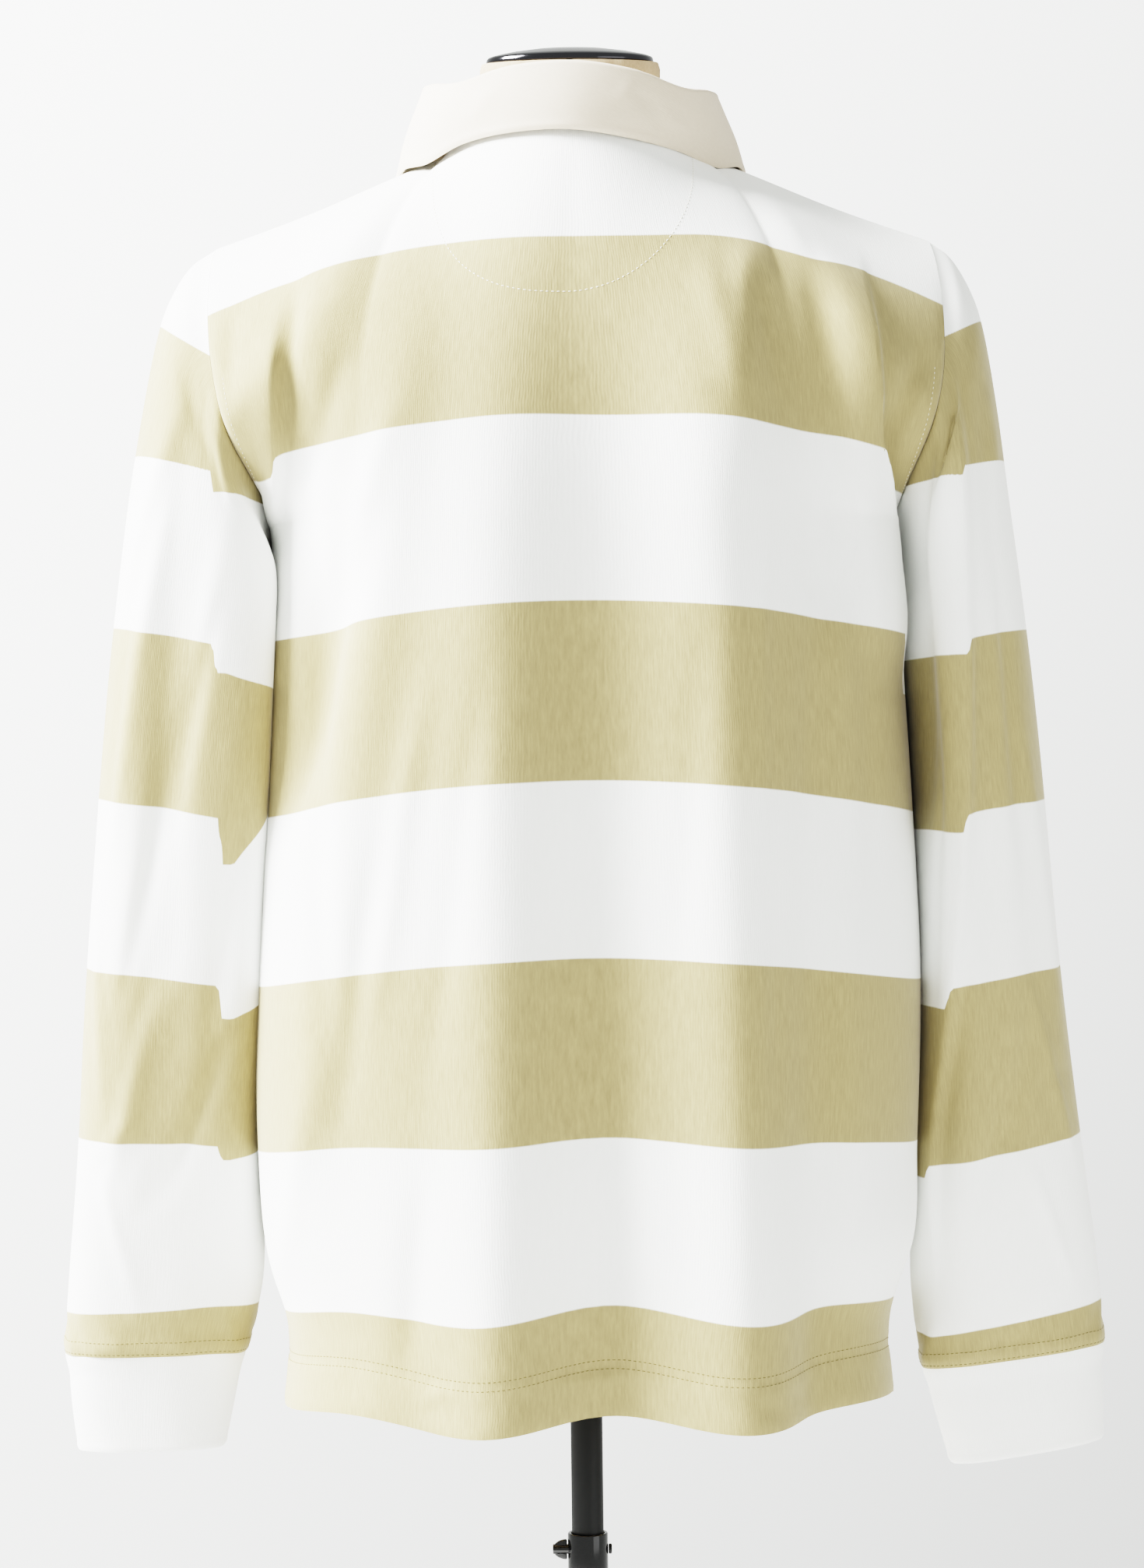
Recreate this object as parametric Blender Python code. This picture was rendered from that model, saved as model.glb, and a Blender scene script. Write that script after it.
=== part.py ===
"""A long-sleeve polo shirt, worn by a limbless dress form on a stand.

Lengths are in millimetres until a mesh is made, which holds metres. +Z is up. The shirt's
back faces -Y and its front +Y, so the wearer's right side is at +X. The origin is on the
floor, under the middle of the round foot.

Each piece of cloth is a grid of points on its outer side, and a wall is laid behind it.
"""

import math
from collections import namedtuple

import bmesh
import bpy
import numpy as np
from mathutils import Matrix

METRE = 1000.0

# Cloth
WALL = 2.0
SEAM_GAP = 0.3
ARMHOLE_GAP = 0.5
NECK_SEAM_GAP = 0.6
HEM_HEIGHT = 767.0
HEM_WAVE = 4.5
HEM_WAVE_LENGTH = 152.0
HEM_WAVE_LOW_X = -62.0
UNDERARM_HEIGHT = 1284.0
BODY_ROWS = 10
ARMHOLE_ROWS = 11
NECK_CELLS = 8
SHOULDER_CELLS = 11
NECK_SHARE = 0.42
BODY_ROUNDNESS = 2.25
SLEEVE_ROUNDNESS = 2.15
SEAM_BLEND = 0.4
SHARP_ANGLE = 35.0

# Neckline and shoulder seam
NECK_POINT_X = 74.0
NECK_POINT_HEIGHT = 1506.5
SHOULDER_SEAM_Y = 4.0
SHOULDER_LEAN = 0.36
BACK_NECK_Y = -78.0
BACK_NECK_HEIGHT = 1511.0
FRONT_NECK_Y = 86.0
FRONT_NECK_HEIGHT = 1434.0
NECK_CURVE_POWER = 1.6
FRONT_SLOT_SHARE = 0.02

# Half-widths of the body to the left (-X) and right, and its reach to the back and front.
BodyRing = namedtuple("BodyRing", "height left right back front")
BODY_RINGS = (
    BodyRing(760, 179, 183, 128, 124),
    BodyRing(812, 176.5, 181, 127, 123),
    BodyRing(861, 188.5, 196, 127, 122),
    BodyRing(915, 192.5, 198.5, 127, 122),
    BodyRing(1010, 192.5, 201.5, 128, 120),
    BodyRing(1112, 187.5, 198, 129, 120),
    BodyRing(1210, 181, 192.5, 132, 122),
    BodyRing(1284, 177, 188, 135, 124),
    BodyRing(1330, 177, 188, 137, 124),
)

# The shoulder line from the neck point outwards, the same on both sides.
ShoulderPoint = namedtuple("ShoulderPoint", "x height")
SHOULDER_LINE = (
    ShoulderPoint(74, 1506.5),
    ShoulderPoint(103, 1495.2),
    ShoulderPoint(154, 1473.8),
    ShoulderPoint(212, 1452.0),
)

# How a panel's columns run over the shoulder: the straight start above the underarm, as a
# share of the rise, then the length and way of the last stretch to the top edge, which
# leans inward to the neck by some degrees.
YokePoint = namedtuple("YokePoint", "share start reach forward upward inward")
YOKE = (
    YokePoint(0.0, 0.42, 44, 0.42, 0.90, 0),
    YokePoint(0.22, 0.50, 60, 0.58, 0.80, 14),
    YokePoint(0.42, 0.62, 84, 0.89, 0.42, 22),
    YokePoint(0.62, 0.66, 92, 0.93, 0.37, 6),
    YokePoint(0.82, 0.58, 70, 0.92, 0.40, 0),
    YokePoint(1.0, 0.50, 44, 0.92, 0.40, 0),
)

# The armhole seam: down the back from the shoulder's end, under the arm, up the front.
ArmholePoint = namedtuple("ArmholePoint", "left_x right_x y height")
ARMHOLE = (
    ArmholePoint(212.0, 212.0, 4, 1452),
    ArmholePoint(213.0, 213.5, -36, 1435),
    ArmholePoint(212.0, 214.5, -68, 1403),
    ArmholePoint(208.0, 213.0, -85, 1367),
    ArmholePoint(200.0, 206.0, -88, 1335),
    ArmholePoint(184.0, 193.0, -58, 1302),
    ArmholePoint(177.0, 188.0, 0, 1284),
    ArmholePoint(184.0, 193.0, 54, 1301),
    ArmholePoint(199.0, 204.0, 80, 1332),
    ArmholePoint(206.0, 210.0, 80, 1364),
    ArmholePoint(211.0, 212.0, 66, 1398),
    ArmholePoint(212.5, 213.0, 40, 1431),
)

ARMHOLE_LEAN = 0.35
ARMHOLE_PULL_POWER = 2.4

# Rings down a sleeve: its outer and inner edge, its depth from back to front and middle.
SleeveRing = namedtuple("SleeveRing", "outer_x outer_z inner_x inner_z depth middle_y")
LEFT_SLEEVE = (
    SleeveRing(212.0, 1452, 177.0, 1284, 170, -3),
    SleeveRing(227.0, 1441, 179.7, 1266, 168, -3),
    SleeveRing(239.0, 1420, 181.0, 1248, 168, -2),
    SleeveRing(247.0, 1394, 182.0, 1228, 168, -2),
    SleeveRing(255.0, 1356, 183.4, 1202, 168, -1),
    SleeveRing(263.0, 1310, 185.4, 1172, 166, 0),
    SleeveRing(271.0, 1255, 187.6, 1138, 160, 2),
    SleeveRing(279.0, 1194, 189.9, 1102, 152, 5),
    SleeveRing(288.0, 1105, 193.1, 1045, 140, 9),
    SleeveRing(296.0, 1015, 194.5, 975, 124, 13),
    SleeveRing(302.5, 922, 193.8, 898, 100, 17),
    SleeveRing(309.5, 845, 193.5, 838, 78, 19),
    SleeveRing(313.5, 792, 204.0, 792, 64, 20),
)
RIGHT_SLEEVE = (
    SleeveRing(212.0, 1452, 188.0, 1284, 170, -3),
    SleeveRing(225.0, 1441, 190.6, 1266, 168, -3),
    SleeveRing(236.0, 1420, 191.9, 1248, 168, -2),
    SleeveRing(243.0, 1394, 193.1, 1228, 168, -2),
    SleeveRing(250.0, 1350, 194.8, 1202, 168, -1),
    SleeveRing(256.0, 1302, 196.7, 1172, 166, 0),
    SleeveRing(263.5, 1246, 198.6, 1138, 160, 2),
    SleeveRing(270.5, 1186, 200.4, 1102, 152, 5),
    SleeveRing(279.0, 1100, 202.6, 1045, 140, 9),
    SleeveRing(287.5, 1008, 203.0, 975, 124, 13),
    SleeveRing(298.5, 916, 199.6, 893, 100, 17),
    SleeveRing(307.5, 845, 196.5, 832, 78, 19),
    SleeveRing(312.5, 792, 202.0, 777, 64, 20),
)
LEFT_CUFF = (
    SleeveRing(311.5, 792, 205.0, 792, 62, 20),
    SleeveRing(310.0, 763, 211.0, 764, 56, 20),
    SleeveRing(306.5, 734, 217.0, 735, 50, 20),
)
RIGHT_CUFF = (
    SleeveRing(310.5, 792, 203.0, 777, 62, 20),
    SleeveRing(311.5, 763, 210.0, 748, 56, 20),
    SleeveRing(312.0, 734, 218.0, 719, 50, 20),
)
SLEEVE_BLEND = 3.2
SLEEVE_ROWS = 17
SLEEVE_CELLS = 2 * ARMHOLE_ROWS
CUFF_ROWS = 3

# Where a fold rises and dies away, as shares of its run, and the margins that seams keep.
FOLD_RISE = (-0.22, 0.12)
FOLD_FALL = (0.95, 1.25)
FOLD_SIDE_MARGIN = 0.14
FOLD_TOP_MARGIN = 0.3
HEM_WAVE_LEVEL = 0.5
SLEEVE_FOLD_RISE = (-0.1, 0.3)
SLEEVE_FOLD_FALL = (0.75, 1.1)
SLEEVE_FOLD_MARGIN = 2.5

# Soft folds of the body: where each crest (or, below zero, trough) runs from top to bottom.
Fold = namedtuple("Fold", "top_x top_z foot_x foot_z half_width top_height foot_height")
BACK_FOLDS = (
    Fold(-166, 1400, -146, 1020, 13, -7, -2),
    Fold(-94, 1380, -160, 930, 20, 4, 5),
    Fold(-92, 1220, -116, 767, 20, 0, 3),
    Fold(-43, 1330, -52, 740, 36, 4, 17),
    Fold(16, 1300, 16, 740, 34, -2, -10),
    Fold(80, 1330, 90, 740, 34, 4, 18),
    Fold(100, 1425, 94, 1310, 12, 4, 1),
    Fold(132, 1300, 134, 740, 18, -3, -8),
    Fold(160, 1420, 166, 1290, 9, -8, -6),
)
FRONT_FOLDS = (
    Fold(-120, 1360, -132, 740, 30, 4, 13),
    Fold(-62, 1240, -66, 740, 24, -1, -8),
    Fold(4, 1230, -4, 740, 36, 1, 10),
    Fold(70, 1240, 64, 740, 24, -1, -9),
    Fold(122, 1370, 128, 740, 30, 4, 14),
    Fold(-164, 1400, -152, 1120, 12, -6, -2),
    Fold(164, 1400, 158, 1120, 12, -6, -2),
)

# Folds down a sleeve, by their turn round it: 0 is the outer edge, 90 back, 180 inner edge.
SleeveFold = namedtuple("SleeveFold", "turn top_z foot_turn foot_z half_turn height")
LEFT_SLEEVE_FOLDS = (
    SleeveFold(100, 1400, 116, 930, 22, -8),
    SleeveFold(138, 1300, 146, 1020, 18, 4),
    SleeveFold(100, 960, 128, 735, 24, -3),
    SleeveFold(255, 1380, 240, 850, 24, -7),
)
RIGHT_SLEEVE_FOLDS = (
    SleeveFold(74, 1400, 98, 930, 22, -7),
    SleeveFold(112, 1330, 128, 960, 18, 4),
    SleeveFold(258, 1380, 245, 850, 24, -7),
)

# The collar by its turn from the middle of the back: its roll line and its lower edge.
CollarPoint = namedtuple("CollarPoint", "turn roll_x roll_y roll_z edge_x edge_y edge_z")
COLLAR = (
    CollarPoint(0, 0, -83, 1547, 0, -86, 1506.5),
    CollarPoint(22, 35, -77, 1545, 34, -77, 1505.0),
    CollarPoint(45, 64, -58, 1541, 63, -54, 1502),
    CollarPoint(68, 81, -29, 1542, 86, -26, 1498),
    CollarPoint(90, 86, 6, 1543, 103, 6, 1497.5),
    CollarPoint(112, 81, 40, 1530, 107, 46, 1482),
    CollarPoint(135, 63, 66, 1506, 97, 80, 1452),
    CollarPoint(158, 34, 83, 1480, 74, 103, 1424),
    CollarPoint(180, 6, 90, 1464, 50, 115, 1403),
)
COLLAR_TILT = 3.0
COLLAR_EDGE_TILT = 2.5
COLLAR_WALL = 2.0
COLLAR_ROLL = 2.8
COLLAR_ROLL_STEPS = 4
COLLAR_STAND_STEPS = 2
COLLAR_LEAF_STEPS = 3
COLLAR_BOW = 2.5

# Placket and buttons
PLACKET_HALF_WIDTH = 16.0
PLACKET_GAP = 0.6
PLACKET_FOOT = 1274.0
PLACKET_TOP = 1430.0
PLACKET_ROWS = 9
PLACKET_CELLS = 4
PLACKET_SHARE = 0.16
UNDER_STRIP_FOOT = 1278.0
BUTTON_HEIGHTS = (1414.0, 1358.0, 1302.0)
BUTTON_RADIUS = 5.75
BUTTON_DEPTH = 2.6
BUTTON_DISH_RADIUS = 3.6
BUTTON_DISH_DEPTH = 0.7
BUTTON_EDGE = 0.6
BUTTON_MIDDLE_RADIUS = 0.3
BUTTON_GAP = 0.5
BUTTON_SIDES = 14

# Dress form
FormRing = namedtuple("FormRing", "height half_width back front roundness")
FORM_RINGS = (
    FormRing(800, 146, 92, 92, 2.2),
    FormRing(806, 151, 96, 95, 2.2),
    FormRing(850, 159, 101, 98, 2.2),
    FormRing(920, 162, 103, 99, 2.2),
    FormRing(1010, 156, 98, 95, 2.2),
    FormRing(1090, 149, 92, 92, 2.2),
    FormRing(1180, 153, 98, 98, 2.2),
    FormRing(1260, 160, 106, 102, 2.2),
    FormRing(1330, 166, 108, 98, 2.2),
    FormRing(1380, 172, 102, 88, 2.1),
    FormRing(1415, 174, 90, 72, 2.0),
    FormRing(1438, 171, 75, 58, 1.8),
    FormRing(1452, 162, 66, 53, 1.65),
    FormRing(1464, 137, 57, 50, 1.5),
    FormRing(1476, 104, 54, 50, 1.5),
    FormRing(1488, 75, 53, 51, 1.7),
    FormRing(1500, 61, 48, 50, 2.0),
    FormRing(1516, 55, 43, 47, 2.0),
    FormRing(1560, 54, 40, 46, 2.0),
)
FORM_CELLS = 32

# The neck's top slopes up to the front, and its cap is an oval with a low dome.
NECK_SLANT = 0.105
CAP_DEPTH_SHARE = 0.78
CAP_MIDDLE_Y = 3.0
CAP_SIDES = 40
CapPoint = namedtuple("CapPoint", "radius rise")
CAP_PROFILE = (
    CapPoint(6.0, 9.6),
    CapPoint(22.0, 8.8),
    CapPoint(36.0, 6.9),
    CapPoint(46.0, 4.8),
    CapPoint(49.3, 3.6),
    CapPoint(50.0, 2.2),
    CapPoint(50.0, 0.0),
)

# Stand
POST_RADIUS = 9.5
POST_FOOT = 300.0
BORE_RADIUS = 10.0
SOCKET_RADIUS = 16.0
SOCKET_FOOT = 756.0
TUBE_RADIUS = 11.6
CLAMP_RADIUS = 12.0
CLAMP_TOP = 683.0
CLAMP_FOOT = 643.0
SCREW_HEIGHT = 673.0
SCREW_RADIUS = 3.0
SCREW_SIDES = 16
SCREW_HOLE_RADIUS = 3.3
SCREW_HOLE_REACH = (-5.0, -18.0)
HUB_RADIUS = 4.2
HUB_EDGE = 1.0
WING_START = 12.6
WING_END = 21.0
WING_SPAN = 6.0
WING_THICKNESS = 3.0
SCREW_END_LENGTH = 2.0
FOOT_RADIUS = 190.0
FOOT_THICKNESS = 10.0
FOOT_EDGE = 2.0
BOSS_RADIUS = 20.0
BOSS_HEIGHT = 32.0
TUBE_SIDES = 24
FOOT_SIDES = 48

# Colour, roughness and metallic value of each material
MATERIALS = {
    "jersey": ((0.60, 0.54, 0.33), 0.85, 0.0),
    "jersey_white": ((0.90, 0.90, 0.87), 0.85, 0.0),
    "twill": ((0.75, 0.68, 0.62), 0.8, 0.0),
    "button": ((0.86, 0.84, 0.78), 0.35, 0.0),
    "linen": ((0.62, 0.52, 0.40), 0.85, 0.0),
    "chrome": ((0.75, 0.75, 0.75), 0.08, 1.0),
    "black_metal": ((0.03, 0.03, 0.03), 0.35, 0.6),
    "black_gloss": ((0.02, 0.02, 0.02), 0.15, 0.0),
}


# ---------------------------------------------------------------- curves and grids


def column(table, name):
    """One named column of a table, as an array."""
    return np.array([getattr(row, name) for row in table], float)


def through(knots, values, at):
    """A smooth curve through values at rising knots, read at the given places."""
    knots = np.asarray(knots, float)
    values = np.asarray(values, float)
    slopes = np.gradient(values, knots)
    at = np.clip(at, knots[0], knots[-1])
    i = np.clip(np.searchsorted(knots, at, side="right") - 1, 0, len(knots) - 2)
    span = knots[i + 1] - knots[i]
    t = (at - knots[i]) / span
    rise = values[i + 1] - values[i]
    bend_start = slopes[i] * span - rise
    bend_end = rise - slopes[i + 1] * span
    return values[i] + t * rise + t * (1 - t) * ((1 - t) * bend_start + t * bend_end)


def round_loop(values, at):
    """A smooth closed curve through evenly numbered values, read at a number round it."""
    count = len(values)
    whole = np.floor(at).astype(int)
    t = at - whole
    before, start, end, after = (values[(whole + k) % count] for k in (-1, 0, 1, 2))
    start_slope = (end - before) / 2
    end_slope = (after - start) / 2
    rise = end - start
    return start + t * rise + t * (1 - t) * (
        (1 - t) * (start_slope - rise) + t * (rise - end_slope)
    )


def ease(low, high, value):
    """0 below low and 1 above high, with a smooth rise between."""
    t = np.clip((value - low) / (high - low), 0, 1)
    return t * t * (3 - 2 * t)


def unit(vectors):
    return vectors / np.linalg.norm(vectors, axis=-1, keepdims=True)


def stacked(x, y, z):
    return np.stack(np.broadcast_arrays(x, y, z), axis=-1).astype(float)


def grid_normals(points, wrap=False):
    """Unit normals of a grid, along (step across) x (step up)."""
    if wrap:
        across = np.roll(points, -1, axis=1) - np.roll(points, 1, axis=1)
    else:
        across = np.gradient(points, axis=1)
    return unit(np.cross(across, np.gradient(points, axis=0)))


def set_normals(normals, rows, columns, value, share=1.0):
    """Turns the normals of some grid points towards a seam's own normal."""
    mixed = (1 - share) * normals[rows, columns] + share * value
    normals[rows, columns] = unit(mixed)


# ---------------------------------------------------------------- meshes


def material(name):
    found = bpy.data.materials.get(name)
    if found:
        return found
    colour, roughness, metallic = MATERIALS[name]
    found = bpy.data.materials.new(name)
    found.use_nodes = True
    found.diffuse_color = (*colour, 1)
    shader = found.node_tree.nodes["Principled BSDF"]
    shader.inputs["Base Color"].default_value = (*colour, 1)
    shader.inputs["Roughness"].default_value = roughness
    shader.inputs["Metallic"].default_value = metallic
    return found


def add_object(name, points, faces, finish, parent=None):
    """A mesh object from points in millimetres. Its origin is its parent's place."""
    mesh = bpy.data.meshes.new(name)
    origin = np.array(parent.location) if parent else np.zeros(3)
    mesh.from_pydata(np.asarray(points) / METRE - origin, [], faces)
    mesh.materials.append(material(finish))
    mesh.shade_smooth()
    mesh.set_sharp_from_angle(angle=math.radians(SHARP_ANGLE))
    obj = bpy.data.objects.new(name, mesh)
    bpy.context.scene.collection.objects.link(obj)
    obj.parent = parent
    return obj


def wall_faces(cells, columns, size):
    """Faces of a closed wall: each kept cell twice, and a rim along every open edge."""
    faces = []
    edges = set()
    quads = []
    for row, cell in cells:
        right = (cell + 1) % columns
        quads.append(
            (
                row * columns + cell,
                row * columns + right,
                (row + 1) * columns + right,
                (row + 1) * columns + cell,
            )
        )
    for quad in quads:
        edges.update(zip(quad, quad[1:] + quad[:1]))
    for quad in quads:
        faces.append(quad)
        faces.append(tuple(size + k for k in reversed(quad)))
    for start, end in sorted(edges):
        if (end, start) not in edges:
            faces.append((end, start, size + start, size + end))
    return faces


def add_cloth(name, outer, normals, finish, parent, wall=WALL, wrap=False, left_out=()):
    """A wall of cloth behind a grid of outer points. Cells in left_out are open."""
    rows, columns = outer.shape[:2]
    cells = [
        (row, cell)
        for row in range(rows - 1)
        for cell in range(columns if wrap else columns - 1)
        if (row, cell) not in left_out
    ]
    inner = outer - wall * normals
    points = np.concatenate([outer.reshape(-1, 3), inner.reshape(-1, 3)])
    faces = wall_faces(cells, columns, rows * columns)
    used = sorted({k for face in faces for k in face})
    renumbered = {k: i for i, k in enumerate(used)}
    faces = [tuple(renumbered[k] for k in face) for face in faces]
    return add_object(name, points[used], faces, finish, parent)


def add_turned(name, profile, sides, finish, parent, axis="Z", centre=(0, 0, 0)):
    """A solid turned from (radius, height) points, outer side from top to bottom."""
    solid = bmesh.new()
    corners = profile[:-1] if profile[0] == profile[-1] else profile
    ring = [solid.verts.new((radius, 0, height)) for radius, height in corners]
    following = ring[1:] + ring[:1] if len(corners) < len(profile) else ring[1:]
    edges = [solid.edges.new(pair) for pair in zip(ring, following)]
    bmesh.ops.spin(
        solid, geom=ring + edges, cent=(0, 0, 0), axis=(0, 0, 1), angle=2 * math.pi,
        steps=sides, use_merge=True,
    )
    rims = [edge for edge in solid.edges if edge.is_boundary]
    bmesh.ops.holes_fill(solid, edges=rims, sides=sides)
    if axis == "X":
        bmesh.ops.rotate(solid, verts=solid.verts, matrix=Matrix.Rotation(math.pi / 2, 3, "Y"))
    bmesh.ops.translate(solid, verts=solid.verts, vec=centre)
    bmesh.ops.recalc_face_normals(solid, faces=solid.faces)
    solid.verts.index_update()
    points = [vertex.co[:] for vertex in solid.verts]
    faces = [[vertex.index for vertex in face.verts] for face in solid.faces]
    solid.free()
    return add_object(name, points, faces, finish, parent)


def add_tube(name, outer_radius, inner_radius, foot, top, finish, parent):
    """An upright tube, open at both ends."""
    profile = (
        (outer_radius, top),
        (outer_radius, foot),
        (inner_radius, foot),
        (inner_radius, top),
        (outer_radius, top),
    )
    return add_turned(name, profile, TUBE_SIDES, finish, parent)


# ---------------------------------------------------------------- the shirt's body


def body_half_width(share, height):
    """The body's half-width at a height, on the side that share's sign gives."""
    heights = column(BODY_RINGS, "height")
    left = through(heights, column(BODY_RINGS, "left"), height)
    right = through(heights, column(BODY_RINGS, "right"), height)
    return np.where(share < 0, left, right)


def ring_point(share, height, face):
    """A point of the body's ring. share is -1 and 1 at the side seams, 0 midway."""
    turn = np.abs(share) * math.pi / 2
    power = 2 / BODY_ROUNDNESS
    across = np.sign(share) * np.sin(turn) ** power * body_half_width(share, height)
    reach = column(BODY_RINGS, "back" if face < 0 else "front")
    depth = through(column(BODY_RINGS, "height"), reach, height)
    along = face * depth * np.abs(np.cos(turn)) ** power
    return stacked(across, along, height)


def armhole_point(number, side):
    """A point of the armhole seam on the side of that sign, numbered as its table."""
    x = side * round_loop(column(ARMHOLE, "right_x" if side > 0 else "left_x"), number)
    y = round_loop(column(ARMHOLE, "y"), number)
    return stacked(x, y, round_loop(column(ARMHOLE, "height"), number))


def armhole_number(rise, face):
    """Where a panel's armhole edge is in the table: rise is 0 under the arm, 1 on top."""
    half = len(ARMHOLE) / 2
    return half + face * rise * half


def top_point(share, face):
    """A point of a panel's top edge: the neckline, and the shoulder seams beside it."""
    amount = np.abs(share)
    turn = np.clip(amount / NECK_SHARE, 0, 1) * math.pi / 2
    neck_y = BACK_NECK_Y if face < 0 else FRONT_NECK_Y
    neck_z = BACK_NECK_HEIGHT if face < 0 else FRONT_NECK_HEIGHT
    x_neck = NECK_POINT_X * np.sin(turn)
    y_neck = SHOULDER_SEAM_Y + (neck_y - SHOULDER_SEAM_Y) * np.cos(turn)
    z_neck = NECK_POINT_HEIGHT + (neck_z - NECK_POINT_HEIGHT) * np.cos(turn) ** NECK_CURVE_POWER
    out = np.clip((amount - NECK_SHARE) / (1 - NECK_SHARE), 0, 1)
    x_out = NECK_POINT_X + out * (SHOULDER_LINE[-1].x - NECK_POINT_X)
    z_out = through(column(SHOULDER_LINE, "x"), column(SHOULDER_LINE, "height"), x_out)
    on_neck = amount <= NECK_SHARE
    x = np.sign(share) * np.where(on_neck, x_neck, x_out)
    y = np.where(on_neck, y_neck, SHOULDER_SEAM_Y)
    return stacked(x, y, np.where(on_neck, z_neck, z_out))


def yoke_column(share, rise, face):
    """A column of a panel above the underarm, before the armhole's edge bends it."""
    foot = ring_point(share, UNDERARM_HEIGHT, face)
    top = top_point(share, face)
    names = ("start", "reach", "forward", "upward", "inward")
    places = column(YOKE, "share")
    read = {name: through(places, column(YOKE, name), np.abs(share)) for name in names}
    height = (top[..., 2] - foot[..., 2]) * read["start"]
    foot_handle = foot + stacked(0, 0, height)
    lean = np.radians(read["inward"])
    across = -np.sign(share) * read["forward"] * np.sin(lean)
    along = -face * read["forward"] * np.cos(lean)
    way = unit(stacked(across, along, read["upward"]))
    top_handle = top - way * read["reach"][..., None]
    t = rise[..., None]
    return (
        (1 - t) ** 3 * foot
        + 3 * t * (1 - t) ** 2 * foot_handle
        + 3 * t**2 * (1 - t) * top_handle
        + t**3 * top
    )


def smooth_panel(share, level, face):
    """The panel without folds. level is 0 at the hem, 1 at the underarm and 2 on top."""
    share, level = np.broadcast_arrays(np.asarray(share, float), np.asarray(level, float))
    low = np.clip(level, 0, 1)
    height = HEM_HEIGHT + low * (UNDERARM_HEIGHT - HEM_HEIGHT)
    body = ring_point(share, height, face)
    rise = np.clip(level - 1, 0, 1)
    yoke = yoke_column(share, rise, face)
    side = np.where(share < 0, -1.0, 1.0)
    edge_left = armhole_point(armhole_number(rise, face), -1)
    edge_right = armhole_point(armhole_number(rise, face), 1)
    edge = np.where((side < 0)[..., None], edge_left, edge_right)
    pull = edge - yoke_column(side, rise, face)
    yoke = yoke + (np.abs(share) ** ARMHOLE_PULL_POWER)[..., None] * pull
    return np.where((level > 1)[..., None], yoke, body)


def fold_height(x, z, folds):
    """How far the soft folds stand out at a place on a panel."""
    total = np.zeros_like(x)
    for fold in folds:
        run = (fold.top_z - z) / (fold.top_z - fold.foot_z)
        crest = fold.top_x + run * (fold.foot_x - fold.top_x)
        height = fold.top_height + np.clip(run, 0, 1) * (fold.foot_height - fold.top_height)
        fade = ease(*FOLD_RISE, run) * (1 - ease(*FOLD_FALL, run))
        total += height * fade * np.exp(-(((x - crest) / fold.half_width) ** 2))
    return total


def panel(share, level, face):
    """Points and outward normals of a panel with its folds."""
    step = 1e-3
    points = smooth_panel(share, level, face)
    across = smooth_panel(share + step, level, face) - smooth_panel(share - step, level, face)
    up_high = smooth_panel(share, np.minimum(level + step, 2), face)
    up_low = smooth_panel(share, np.maximum(level - step, 0), face)
    normals = unit(np.cross(across, up_high - up_low)) * -face
    share, level = np.broadcast_arrays(np.asarray(share, float), np.asarray(level, float))
    edge = ease(0, FOLD_SIDE_MARGIN, 1 - np.abs(share)) * ease(0, FOLD_TOP_MARGIN, 2 - level)
    folds = BACK_FOLDS if face < 0 else FRONT_FOLDS
    out = edge * fold_height(points[..., 0], points[..., 2], folds)
    points = points + normals * out[..., None]
    along = (points[..., 0] - HEM_WAVE_LOW_X) / HEM_WAVE_LENGTH
    wave = HEM_WAVE * np.cos(2 * math.pi * along)
    points[..., 2] -= wave * edge * (1 - ease(0, HEM_WAVE_LEVEL, level))
    return points, normals


def shares_across(face):
    """The column places of a panel. The front has two close together for its slot."""
    neck = np.linspace(0, NECK_SHARE, NECK_CELLS + 1)
    half = np.concatenate([neck, np.linspace(NECK_SHARE, 1, SHOULDER_CELLS + 1)[1:]])
    if face > 0:
        half[0] = FRONT_SLOT_SHARE
        return np.concatenate([-half[::-1], half])
    return np.concatenate([-half[:0:-1], half])


def panel_levels():
    low = np.linspace(0, 1, BODY_ROWS + 1)
    return np.concatenate([low, 1 + np.linspace(0, 1, ARMHOLE_ROWS + 1)[1:]])


def armhole_normal(number, side):
    """The seam's own outward direction: away from the middle of the armhole."""
    points = armhole_point(number, side)
    turn = number * 2 * math.pi / len(ARMHOLE)
    lean = side * ARMHOLE_LEAN * np.clip(np.cos(turn), 0, 1)
    middle_y = column(ARMHOLE, "y").mean()
    middle_z = column(ARMHOLE, "height").mean()
    away = stacked(np.zeros_like(turn), points[..., 1] - middle_y, points[..., 2] - middle_z)
    return unit(unit(away) + stacked(lean, 0, 0))


def neck_normal(points):
    """The neckline's outward direction, level and away from the neck's middle."""
    away = points * [1, 1, 0] - [0, SHOULDER_SEAM_Y, 0]
    return unit(away)


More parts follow.
